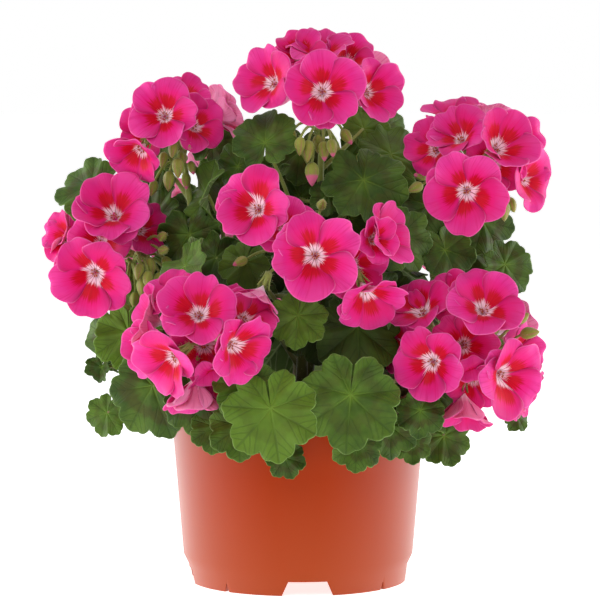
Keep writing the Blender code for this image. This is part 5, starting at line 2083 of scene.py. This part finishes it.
@dataclass
class HeadMaker:
    """Petals of a flower head, with sizes in mm."""

    across: int = 12
    along: int = 16
    thickness: float = 0.36
    base: float = 0.12
    widening: float = 0.92
    widest: float = 0.64
    ruffle: tuple[float, float] = (0.35, 0.95)
    waves: tuple[int, int] = (4, 7)
    behind: float = 0.85
    pattern: tuple = ()

    def prepare(self) -> None:
        """Models the flat petal that every petal is a bent copy of."""
        points, faces = grid_pattern(self.across, self.along)
        self.pattern = points, [face[::-1] for face in faces]

    def petal(self, skin: Skin, bloom: Bloom, plan: PetalPlan, draw: random.Random) -> None:
        """Adds one ruffled petal.

        Args:
            skin: The head's petals.
            bloom: The flower.
            plan: The petal's place.
            draw: Where its own look is drawn from.
        """
        flat, faces = self.pattern
        s, t = flat[:, 0], flat[:, 1]
        x = s * np.sqrt(1 - t * t / 2)
        y = t * np.sqrt(1 - s * s / 2)
        along = (y + 1) / 2
        taper = self.base + self.widening * smooth(0.05, self.widest, along)
        width = draw.uniform(0.72, 0.92)
        beside = plan.length * BLOOM.half * width * x * taper
        rise = BLOOM.rise
        length = plan.length
        opening = plan.opening
        throat = unit(bloom.throat)
        axis = unit(bloom.axis)
        outward = unit(plan.outward)
        side = unit(bloom.axis.cross(plan.outward))
        if plan.inner and draw.random() < self.behind:
            length = length / BLOOM.inner_length * draw.uniform(0.88, 0.97)
            opening = opening + BLOOM.inner_opening + 5
            throat = throat - axis * 0.9
        elif plan.inner:
            opening = opening + draw.uniform(-6, 12)
            length = length * draw.uniform(0.75, 0.95)
            rise = BLOOM.inner_rise
            beside = beside * draw.uniform(0.45, 0.62)
            throat = throat + outward * 1.2
        notch = draw.choice((0.0, 0.02, 0.05, 0.09))
        share = along * (1 - notch * np.exp(-((x / 0.24) ** 2)) * smooth(0.7, 1.0, along))
        reach, lift, turn = petal_curve(length, opening, share, beside, rise)
        radius = np.sqrt(x * x + y * y)
        angle = np.arctan2(x, y)
        wave = draw.uniform(*self.ruffle) * radius ** 3 * along
        wave = wave * np.sin(draw.randint(*self.waves) * angle + draw.uniform(0, 2 * math.pi))
        wave = wave - draw.uniform(0.1, 1.5) * x * along
        wave = wave + draw.uniform(0.3, 2.6) * x * x * along
        wave = wave - draw.uniform(0.2, 0.7) * np.exp(-((x / 0.3) ** 2)) * smooth(0.1, 0.5, along)
        corner = np.clip((x * draw.choice((-1, 1)) + y) / 1.4 - 0.35, 0.0, 1.0)
        wave = wave + draw.choice((0.0, 0.0, 1.6, 2.6, -2.0)) * corner ** 1.5
        back = draw.uniform(-2.4, 1.0) * smooth(0.7, 1.0, along)
        lift = lift + back
        points = throat + np.outer(reach, outward) + np.outer(lift, axis) + np.outer(beside, side)
        normal = np.outer(np.sin(turn), axis) - np.outer(np.cos(turn), outward)
        points = points + normal * wave[:, None]
        places = np.column_stack((x, along, np.full(len(x), draw.random())))
        skin.add(points, faces, places)

    def build(self, name: str, blooms: Sequence[Bloom], materials: Sequence) -> bpy.types.Object:
        """Makes the petals of one head.

        Args:
            name: Name of the shoot that bears it.
            blooms: Its flowers.
            materials: Finish of the faces and of the backs.

        Returns:
            The object.
        """
        skin = Skin("petals_" + name, "petal_place")
        draw = random.Random("petals " + name)
        for bloom in blooms:
            for plan in bloom.plans:
                self.petal(skin, bloom, plan, draw)
        return skin.build(materials, Slot.PETALS, self.thickness, backed=True)


@dataclass
class CalyxMaker:
    """Stalks, sepals and stamens of the flowers of a head, with sizes in mm."""

    stalk: float = 0.85
    sides: int = 8
    sepal_length: float = 9.5
    sepal_half: float = 1.25
    filament: float = 0.2
    stamens: int = 9
    stamen_reach: float = 5.0
    anther: float = 1.3

    def sepals(self, skin: Skin, bloom: Bloom, draw: random.Random) -> None:
        """Five pointed sepals round the flower's foot, and the cup that they leave."""
        axis = bloom.axis
        foot = bloom.throat - axis * BLOOM.calyx_length
        cup = [(-1.4, 0.0), (-0.9, 0.9), (0.4, 1.5), (3.0, 1.75), (6.4, 1.5), (7.6, 0.9), (7.8, 0.0)]
        skin.add(*spindle(foot, axis, cup, 10))
        down(skin, [foot, bloom.throat - axis * 1.5], (2.6, 3.4), 9.0, draw, 1)
        side = square_to(axis, UP)
        across = axis.cross(side)
        start = draw.uniform(0, 2 * math.pi)
        for k in range(5):
            angle = start + 2 * math.pi * k / 5
            out = side * math.cos(angle) + across * math.sin(angle)
            beside = axis.cross(out)
            spread = draw.uniform(0.9, 2.2)
            sheet = []
            rows = ((0.0, 0.55), (0.22, 1.0), (0.5, 0.85), (0.8, 0.42), (1.0, 0.0))
            for share, half in rows:
                middle = foot + axis * (self.sepal_length * share)
                middle = middle + out * (1.3 + spread * share * share + 0.3)
                for place in (-1, 0, 1):
                    lift = 0.45 if place == 0 else 0.0
                    sheet.append(middle + beside * (place * half * self.sepal_half) + out * lift)
            under = [p - out * 0.35 for p in sheet]
            faces = []
            count = len(sheet)
            for row in range(4):
                for col in range(2):
                    a = row * 3 + col
                    faces.append((a, a + 1, a + 4, a + 3))
                    faces.append((count + a, count + a + 3, count + a + 4, count + a + 1))
                for col, swap in ((0, False), (2, True)):
                    a = row * 3 + col
                    quad = (a, a + 3, count + a + 3, count + a)
                    faces.append(quad[::-1] if swap else quad)
            faces.append((0, count, count + 1, 1))
            faces.append((1, count + 1, count + 2, 2))
            skin.add(sheet + under, faces)

    def stalks(self, skin: Skin, name: str, blooms: Sequence[Bloom], draw: random.Random) -> None:
        """Curved flower stalks that meet in the head's middle."""
        hub = Growth.hub(name)
        for bloom in blooms:
            foot = bloom.throat - bloom.axis * BLOOM.calyx_length
            reach = (foot - hub).length
            middle = foot - bloom.axis * (reach * 0.35)
            middle = middle.lerp((foot + hub) * 0.5, 0.4)
            path = bow(hub, foot + bloom.axis * 0.5, middle, 8)
            radii = [self.stalk * (1.15 - 0.25 * i / 8) for i in range(9)]
            skin.add(*tube(path, radii, self.sides))
            down(skin, path, radii, 1.6, draw, 1)
        ball = SHOOT.hub * 0.62
        rings = [(-ball * math.cos(a), ball * math.sin(a)) for a in np.linspace(0, math.pi, 7)]
        skin.add(*spindle(hub, UP, rings, 10))

    def stamens_of(self, skin: Skin, bloom: Bloom, draw: random.Random) -> None:
        """Thread-like stamens with anthers, and the five-armed stigma among them."""
        axis = bloom.axis
        side = square_to(axis, UP)
        across = axis.cross(side)
        for k in range(self.stamens):
            angle = 2 * math.pi * (k + draw.uniform(-0.3, 0.3)) / self.stamens
            out = side * math.cos(angle) + across * math.sin(angle)
            reach = self.stamen_reach * draw.uniform(0.72, 1.1)
            tip = bloom.throat + axis * reach + out * draw.uniform(0.9, 2.5)
            path = bow(bloom.throat - axis * 1.0, tip, bloom.throat + axis * (reach * 0.6), 3)
            skin.add(*tube(path, [self.filament * 1.6, self.filament * 1.3, self.filament, self.filament], 4))
            long = self.anther
            rings = [(-long * 0.5, 0.0), (-long * 0.25, 0.34), (long * 0.25, 0.34), (long * 0.5, 0.0)]
            way = (out + axis * 0.4).normalized()
            skin.add(*spindle(tip, way, rings, 6), finish=1)
        for k in range(5):
            angle = 2 * math.pi * k / 5 + 0.4
            out = side * math.cos(angle) + across * math.sin(angle)
            start = bloom.throat + axis * (self.stamen_reach * 0.55)
            end = start + axis * 0.9 + out * 1.1
            path = bow(start, end, start + axis * 0.9, 3)
            skin.add(*tube(path, (0.2, 0.18, 0.16, 0.1), 4), finish=2)


@dataclass
class LeafMaker:
    """Leaves of a shoot, with sizes in mm."""

    steps: int = 112
    rings: tuple[float, ...] = (0.0, 0.07, 0.17, 0.29, 0.41, 0.53, 0.65, 0.76, 0.86, 0.94, 1.0)
    thickness: float = 0.5
    crenel: float = 0.060
    clefts: float = 0.06
    pleat: float = 0.15
    ruffle: float = 0.08
    fold: float = 0.17
    slit: float = math.radians(3.0)

    def blade(self, skin: Skin, leaf: Blade, draw: random.Random) -> None:
        """Adds one scalloped, pleated leaf with an open sinus.

        Args:
            skin: The shoot's leaves.
            leaf: The leaf's place.
            draw: Where its own look is drawn from.
        """
        span = math.pi - LEAF.sinus
        share = np.array(self.rings[1:])[:, None]
        turns = np.linspace(0.0, LEAF.lobes, self.steps + 1)[None, :]
        closed = math.pi - self.slit
        angle = closed * (2 * turns / LEAF.lobes - 1)
        cleft = np.abs(turns - np.round(turns))
        cleft = 1 - self.clefts * np.exp(-((cleft / 0.10) ** 2))
        basal = 1 - 0.16 * np.exp(-(((np.abs(angle) - closed) / 0.20) ** 2))
        scallop = np.abs(np.sin(3 * math.pi * turns)) ** 0.6 - 0.75
        outline = leaf_outline(angle * span / closed) * (1 + self.crenel * scallop) * basal * cleft
        reach = outline * share
        height = leaf_height(reach, angle, leaf.shape)
        crease = 0.5 - np.abs(np.cos(math.pi * turns)) ** 1.2
        height = height + self.pleat * share * (1 - 0.35 * share) * -crease * draw.uniform(0.7, 1.3)
        sag = np.sin(draw.choice((2, 3)) * angle + draw.uniform(0, 2 * math.pi))
        height = height + self.fold * share ** 2 * sag * draw.uniform(0.4, 1.3)
        wave = np.sin(draw.randint(7, 9) * angle + draw.uniform(0, 2 * math.pi))
        height = height + self.ruffle * share ** 4 * wave * draw.uniform(0.6, 1.4)
        flat = leaf.radius * reach
        normal, midrib = unit(leaf.normal), unit(leaf.midrib)
        across = np.cross(normal, midrib)
        points = [unit(leaf.attach)[None, :]]
        seed = draw.random()
        places = [np.array([[LEAF.lobes / 2, 0.0, seed]])]
        for ring in range(len(self.rings) - 1):
            out = flat[ring][:, None]
            row = unit(leaf.attach) + out * np.cos(angle[0])[:, None] * midrib
            row = row + out * np.sin(angle[0])[:, None] * across
            row = row + (leaf.radius * height[ring])[:, None] * normal
            points.append(row)
            ring_share = np.full(self.steps + 1, self.rings[ring + 1])
            places.append(np.column_stack((turns[0], ring_share, np.full(self.steps + 1, seed))))
        faces = []
        row = self.steps + 1
        for k in range(self.steps):
            faces.append((0, 1 + k, 2 + k))
        for ring in range(len(self.rings) - 2):
            base = 1 + ring * row
            for k in range(self.steps):
                faces.append((base + k, base + row + k, base + row + k + 1, base + k + 1))
        skin.add(np.concatenate(points), faces, np.concatenate(places))

    def build(self, name: str, blades: Sequence[Blade], materials: Sequence) -> bpy.types.Object:
        """Makes the leaves of one shoot, with faces and backs finished apart."""
        skin = Skin("leaves_" + name, "leaf_place")
        draw = random.Random("leaves " + name)
        for leaf in blades:
            self.blade(skin, leaf, draw)
        return skin.build(materials, Slot.FOLIAGE, self.thickness, backed=True)


@dataclass
class StemMaker:
    """Stem, bracts and leaf stalks of a shoot, with sizes in mm."""

    sides: int = 10
    petiole: tuple[float, float] = (1.35, 0.9)
    node_swell: float = 0.5

    def build(self, name: str, growth: Growth, materials: Sequence) -> bpy.types.Object:
        """Makes a shoot's stem with everything that is stalk on it.

        Args:
            name: Name of the shoot.
            growth: The whole plant as it is placed.
            materials: Stalk finish.

        Returns:
            The object.
        """
        skin = Skin("stem_" + name)
        path = growth.stems[name]
        steps = 5
        curve = rounded(path, steps)
        radii = spread(SHOOT.radii, steps)
        radii = [r * (1 + 0.10 * math.sin(i * 1.9) * (i % 5 == 0)) for i, r in enumerate(radii)]
        skin.add(*tube(curve, radii, self.sides))
        draw = random.Random("stem " + name)
        down(skin, curve, radii, 2.4, draw, 1)
        for leaf in growth.blades[name]:
            end = leaf.attach - leaf.normal * 0.5
            route = rounded([leaf.route[0], leaf.route[1], end], 6)
            first, last = self.petiole
            width = [first + (last - first) * i / (len(route) - 1) for i in range(len(route))]
            skin.add(*tube(route, width, 8))
            down(skin, route, width, 1.0, draw, 1)
        if name in growth.bracts:
            self.bract_ring(skin, growth.collar(name), growth.bracts[name])
        return skin.build(materials, Slot.FOLIAGE)

    def bract_ring(self, skin: Skin, collar: Vector, reach: float) -> None:
        """Small pointed bracts in a ring under the head."""
        for k in range(6):
            angle = 2 * math.pi * k / 6
            out = Vector((math.cos(angle), math.sin(angle), 0.0))
            way = (out + UP * 0.25).normalized()
            rings = [(0.0, 0.0), (0.8, 0.75), (2.2, 0.95), (3.6, 0.6), (reach + 0.8, 0.0)]
            skin.add(*spindle(collar - UP * 1.2, way, rings, 6))


@dataclass
class BudMaker:
    """Buds of a head on their stalks, with sizes in mm."""

    sides: int = 20
    stalk: float = 0.75
    half: float = 0.27
    ridge: float = 0.09
    ripe_length: float = 13.0

    def bud(self, skin: Skin, tip: Tip, ripe: float, draw: random.Random) -> None:
        """One pointed bud with five ridged sepals."""
        rows = 12
        side = square_to(tip.axis, UP)
        across = tip.axis.cross(side)
        points = []
        places = []
        for row in range(1, rows):
            along = row / rows
            fat = math.sin(math.pi * along ** 0.72) ** 0.75 * tip.length * self.half
            for k in range(self.sides):
                angle = 2 * math.pi * k / self.sides
                ridge = 1 + self.ridge * math.cos(5 * angle) * math.sin(math.pi * along)
                spoke = side * math.cos(angle) + across * math.sin(angle)
                points.append(tip.start + tip.axis * (tip.length * along) + spoke * (fat * ridge))
                places.append((5 * k / self.sides + 0.5, along, ripe))
        points = [tip.start, *points, tip.start + tip.axis * tip.length]
        places = [(0.5, 0.0, ripe), *places, (0.5, 1.0, ripe)]
        faces = []
        sides = self.sides
        for k in range(sides):
            after = (k + 1) % sides
            faces.append((0, 1 + after, 1 + k))
            for row in range(rows - 2):
                a = 1 + row * sides
                faces.append((a + k, a + after, a + sides + after, a + sides + k))
            top = 1 + (rows - 2) * sides
            faces.append((top + k, top + after, len(points) - 1))
        skin.add(points, faces, np.array(places))
        shares = (0.05, 0.3, 0.6, 0.92)
        spine = [tip.start + tip.axis * (tip.length * share) for share in shares]
        fat = [tip.length * self.half * share for share in (0.35, 1.0, 0.85, 0.25)]
        down(skin, spine, fat, 7.0, draw, 2)

    def build(self, name: str, tips: Sequence[Tip], materials: Sequence) -> bpy.types.Object:
        """Makes the buds of one head."""
        skin = Skin("buds_" + name, "bud_place")
        draw = random.Random("buds " + name)
        for tip in tips:
            path = bow(tip.root, tip.start + tip.axis * 0.6, tip.knee, 8)
            radii = [self.stalk * (1.1 - 0.02 * i) for i in range(9)]
            skin.add(*tube(path, radii, 8), finish=1)
            down(skin, path, radii, 1.5, draw, 2)
            ripe = draw.choice((0.0, 0.0, 0.12, 0.3))
            self.bud(skin, tip, 0.55 if tip.length >= self.ripe_length else ripe, draw)
        return skin.build(materials, Slot.FOLIAGE)


# The holder


def lathe(name: str, profile: Sequence[tuple[float, float]], steps: int) -> bpy.types.Object:
    """Turns a profile in edit mode, ring by ring, and closes both ends.

    Args:
        name: Name of the object.
        profile: Radius and height of each ring in mm, both ends away from the axis.
        steps: Points in a ring.

    Returns:
        A closed object with faces outwards.
    """
    deselect()
    first, low = profile[0]
    bpy.ops.mesh.primitive_circle_add(vertices=steps, radius=first * MM)
    item = bpy.context.object
    item.name = name
    bpy.ops.object.mode_set(mode="EDIT")
    bpy.ops.mesh.select_all(action="SELECT")
    bpy.ops.transform.translate(value=(0.0, 0.0, low * MM))
    for (radius, height), (wider, higher) in zip(profile, profile[1:]):
        bpy.ops.mesh.extrude_region_move(
            TRANSFORM_OT_translate={"value": (0.0, 0.0, (higher - height) * MM)}
        )
        scale = wider / radius
        bpy.ops.transform.resize(
            value=(scale, scale, 1.0), center_override=(0.0, 0.0, higher * MM)
        )
    bpy.ops.mesh.select_all(action="SELECT")
    bpy.ops.mesh.fill_holes(sides=0)
    bpy.ops.mesh.select_all(action="SELECT")
    bpy.ops.mesh.normals_make_consistent(inside=False)
    bpy.ops.object.mode_set(mode="OBJECT")
    return item


def carve(item: bpy.types.Object, cutter: bpy.types.Object) -> None:
    """Cuts a closed shape out of an object and removes the cutter."""
    deselect()
    item.select_set(True)
    bpy.context.view_layer.objects.active = item
    cut = item.modifiers.new("cut", "BOOLEAN")
    cut.operation = "DIFFERENCE"
    cut.solver = "EXACT"
    cut.object = cutter
    bpy.ops.object.modifier_apply(modifier=cut.name)
    mesh = cutter.data
    bpy.data.objects.remove(cutter)
    bpy.data.meshes.remove(mesh)


@dataclass
class PotMaker:
    """The moulded pot: tapered wall, rolled lip, base band, feet and drain holes, in mm."""

    edge: float = 0.55
    inner: float = 48.0
    outer: float = 62.0

    def wedge(self, angle: float, half_low: float, half_high: float, top: float) -> bpy.types.Object:
        """Cutter for a gap in the foot ring: narrower at its top, set at an angle."""
        deselect()
        bpy.ops.mesh.primitive_cube_add(size=1.0)
        item = bpy.context.object
        for v in item.data.vertices:
            half = half_low if v.co.z < 0 else half_high
            radius = self.inner if v.co.x < 0 else self.outer
            beside = half * (1 if v.co.y > 0 else -1)
            v.co = Vector((radius * MM, beside * MM, (-5.0 if v.co.z < 0 else top) * MM))
            v.co = Matrix.Rotation(angle, 3, "Z") @ v.co
        return item

    def build(self, skin: bpy.types.Material) -> bpy.types.Object:
        """Turns, cuts, bevels and dresses the pot.

        Args:
            skin: Its finish.

        Returns:
            The object.
        """
        profile = POT.profile()
        profile = [(2.0, POT.floor_top), *profile[1:-1], (2.0, POT.floor_under)]
        item = lathe("grower_pot", profile, POT.fine_steps)
        for quarter in range(4):
            angle = POT.foot_turn - math.pi / 2 + quarter * math.pi / 2
            half = POT.gap_width / 2
            carve(item, self.wedge(angle, half, half - POT.gap_slant, POT.floor_under + 0.01))
            notch = POT.notch_width / 2
            carve(item, self.wedge(angle + math.pi / 4, notch, 0.3, POT.notch_height))
        for k in range(POT.drains):
            angle = 2 * math.pi * k / POT.drains
            deselect()
            place = (
                POT.drain_circle * math.cos(angle) * MM,
                POT.drain_circle * math.sin(angle) * MM,
                (POT.floor_top + POT.floor_under) / 2 * MM,
            )
            bpy.ops.mesh.primitive_cylinder_add(
                vertices=24, radius=POT.drain_radius * MM, depth=6 * MM, location=place
            )
            carve(item, bpy.context.object)
        deselect()
        item.select_set(True)
        bpy.context.view_layer.objects.active = item
        bevel = item.modifiers.new("edges", "BEVEL")
        bevel.width = self.edge * MM
        bevel.segments = 2
        bevel.limit_method = "ANGLE"
        bevel.angle_limit = math.radians(35)
        bpy.ops.object.modifier_apply(modifier=bevel.name)
        bpy.ops.object.shade_smooth_by_angle(angle=math.radians(40))
        item.data.materials.append(skin)
        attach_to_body(item, "root")
        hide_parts("pot")
        LOG.info("%s: %d faces", item.name, len(item.data.polygons))
        return item


@dataclass
class SoilMaker:
    """Peaty potting soil with crumbs and perlite, in mm."""

    rings: int = 26
    steps: int = 120
    roughness: float = 1.1
    crumbs: int = 420
    perlite: int = 60

    def height(self, x: float, y: float) -> float:
        """Height of the soil's top at a place."""
        rim = POT.rim_radius - POT.wall
        share = min(1.0, math.hypot(x, y) / rim)
        bumps = noise.noise(Vector((x * 0.12, y * 0.12, 0.3))) * 0.7
        bumps += noise.noise(Vector((x * 0.45, y * 0.45, 3.1))) * 0.5
        return SOIL.top + SOIL.dome * (1 - share ** 2) + bumps * self.roughness - 0.3

    def build(self, skins: Sequence) -> bpy.types.Object:
        """Makes the plug, its crumbly top and what lies on it."""
        skin = Skin("potting_soil")
        low = POT.floor_top + SOIL.seat_gap
        foot = POT.wall_radius(POT.floor_top) - POT.wall - 0.6 - SOIL.wall_gap
        top_rim = POT.rim_radius - POT.wall
        low_rim = POT.wall_radius(POT.floor_top) - POT.wall - 0.6
        share = (SOIL.top - POT.floor_top) / (POT.height - POT.floor_top)
        rim = low_rim + (top_rim - low_rim) * share - SOIL.wall_gap
        points = [(0.0, 0.0, self.height(0.0, 0.0))]
        for ring in range(1, self.rings + 1):
            radius = rim * ring / self.rings
            for k in range(self.steps):
                angle = 2 * math.pi * k / self.steps
                x = radius * math.cos(angle)
                y = radius * math.sin(angle)
                points.append((x, y, self.height(x, y)))
        for k in range(self.steps):
            angle = 2 * math.pi * k / self.steps
            points.append((foot * math.cos(angle), foot * math.sin(angle), low))
        points.append((0.0, 0.0, low))
        faces = []
        n = self.steps
        for k in range(n):
            after = (k + 1) % n
            faces.append((0, 1 + k, 1 + after))
            for ring in range(self.rings):
                a = 1 + ring * n
                faces.append((a + k, a + n + k, a + n + after, a + after))
            faces.append((1 + self.rings * n + after, 1 + self.rings * n + k, len(points) - 1))
        skin.add(points, faces)
        draw = random.Random(SEED + 5)
        for k in range(self.crumbs + self.perlite):
            self.crumb(skin, rim, draw, k >= self.crumbs)
        item = skin.build(skins, Slot.SOIL)
        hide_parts("soil")
        return item

    def crumb(self, skin: Skin, rim: float, draw: random.Random, white: bool) -> None:
        """One crumb of peat or bead of perlite, half sunk in the top."""
        radius = (rim - 2.5) * math.sqrt(draw.random())
        angle = draw.uniform(0, 2 * math.pi)
        x = radius * math.cos(angle)
        y = radius * math.sin(angle)
        size = draw.uniform(0.7, 1.4) if white else draw.uniform(0.5, 2.0)
        points, faces = spindle(
            Vector((x, y, self.height(x, y) + size * 0.1)), UP,
            [(-size * 0.7, 0.0), (-size * 0.3, size), (size * 0.35, size * 0.9), (size * 0.75, 0.0)], 6,
        )
        points = [p + Vector([draw.uniform(-0.25, 0.25) * size for _ in range(3)]) for p in points]
        skin.add(points, faces, finish=1 if white else 0)


# The studio


@dataclass
class Studio:
    """Pale floor, soft light and the camera at the photograph's place."""

    floor: str = "#F6F6F6"
    sky: str = "#FFFFFF"
    sky_strength: float = 1.0
    fill: float = 0.22
    glow: float = 0.76

    def lamp(self, name: str, place: Vector, size: tuple[float, float], watts: float) -> None:
        """Adds a softbox that looks at the plant's middle."""
        data = bpy.data.lights.new(name, "AREA")
        data.shape = "RECTANGLE"
        data.size, data.size_y = size
        data.energy = watts
        item = bpy.data.objects.new(name, data)
        item.location = place
        aim = Vector((0.0, 0.0, 0.14)) - place
        item.rotation_euler = aim.to_track_quat("-Z", "Y").to_euler()
        bpy.context.scene.collection.objects.link(item)

    def paper_light(self) -> dict:
        """Matt paper, lit from below as on a light table."""
        return {
            "Roughness": 0.9,
            "Specular IOR Level": 0.1,
            "Emission Color": linear(self.sky),
            "Emission Strength": self.glow,
        }

    def sky_light(self) -> None:
        """White backdrop that gives a softer light than it shows."""
        world = bpy.data.worlds.new("studio")
        world.use_nodes = True
        tree = world.node_tree
        back = tree.nodes["Background"]
        back.inputs["Color"].default_value = linear(self.sky)
        rays = tree.nodes.new("ShaderNodeLightPath")
        seen = tree.nodes.new("ShaderNodeMath")
        seen.operation = "MAXIMUM"
        tree.links.new(rays.outputs["Is Camera Ray"], seen.inputs[0])
        tree.links.new(rays.outputs["Is Glossy Ray"], seen.inputs[1])
        level = tree.nodes.new("ShaderNodeMapRange")
        level.inputs["To Min"].default_value = self.fill
        level.inputs["To Max"].default_value = self.sky_strength
        tree.links.new(seen.outputs["Value"], level.inputs["Value"])
        tree.links.new(level.outputs["Result"], back.inputs["Strength"])
        bpy.context.scene.world = world

    def build(self) -> None:
        """Sets the stage."""
        deselect()
        bpy.ops.mesh.primitive_plane_add(size=80.0)
        floor = bpy.context.object
        floor.name = "studio_floor"
        b = Bench("studio_paper")
        grain = b.add("TexNoise", at={"Scale": 30.0})
        paper = b.add("MixRGB", grain, self.floor, self.sky)
        floor.data.materials.append(b.finish(b.add("BsdfPrincipled", paper, at=self.paper_light())))
        self.sky_light()
        self.lamp("key", Vector((-0.5, -1.4, 1.3)), (1.0, 1.0), 11.0)
        for side in (-1, 1):
            self.lamp("flank", Vector((side * 1.1, 0.15, 0.30)), (1.3, 0.9), 12.0)
        self.lamp("top", Vector((0.0, 0.2, 1.5)), (1.2, 1.2), 5.0)
        camera = bpy.data.objects.new("camera", bpy.data.cameras.new("camera"))
        camera.data.sensor_width = VIEW.sensor
        camera.data.lens = VIEW.lens()
        camera.data.clip_start = 0.05
        camera.location = VIEW.eye() * MM
        camera.rotation_euler = VIEW.forward().to_track_quat("-Z", "Y").to_euler()
        bpy.context.scene.collection.objects.link(camera)
        bpy.context.scene.camera = camera
        bpy.context.scene.view_settings.view_transform = "Standard"


def main() -> None:
    """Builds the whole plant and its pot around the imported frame."""
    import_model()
    growth = Growth()
    growth.grow()
    petals = PetalSilk()
    leaf = LeafSkin()
    silk = [petals.upper(), petals.under()]
    leaves = [leaf.upper(), leaf.under()]
    stalk = Stalk().skin()
    bud = BudSkin().skin()
    hair = Plain("plant_hair", "#C9D49A", "#A9B878", 1.0, 0.6).skin()
    anther = Plain("anther_pollen", "#C9673A", "#93421F", 0.4, 0.8).skin()
    filament = Plain("filament", "#F6D3DC", "#EEA9C2", 0.6, 0.45).skin()
    stigma = Plain("stigma", "#C01A55", "#8E1040", 0.5, 0.5).skin()
    heads = HeadMaker()
    heads.prepare()
    calyx = CalyxMaker()
    leafage = LeafMaker()
    stems = StemMaker()
    buds = BudMaker()
    for name in growth.stems:
        blooms = growth.blooms[name]
        item = heads.build(name, blooms, silk)
        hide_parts("head_" + name)
        draw = random.Random("calyx " + name)
        skin = Skin("calyxes_" + name)
        calyx.stalks(skin, name, blooms, draw)
        for bloom in blooms:
            calyx.sepals(skin, bloom, draw)
        skin.build([stalk, hair], Slot.FOLIAGE)
        skin = Skin("stamens_" + name)
        for bloom in blooms:
            calyx.stamens_of(skin, bloom, draw)
        skin.build([filament, anther, stigma], Slot.PETALS)
        item = stems.build(name, growth, [stalk, hair])
        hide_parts("shoot_" + name)
        if growth.blades[name]:
            leafage.build(name, growth.blades[name], leaves)
        if growth.tips[name]:
            buds.build(name, growth.tips[name], [bud, stalk, hair])
    PotMaker().build(MouldedPot().skin())
    peat = Plain("peat_soil", "#4A3626", "#1F150E", 1.6, 0.95).skin()
    perlite = Plain("perlite", "#EFEAE0", "#CFC8BA", 0.8, 0.8).skin()
    SoilMaker().build([peat, perlite])
    Studio().build()
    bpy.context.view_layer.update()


if __name__ == "__main__":
    main()
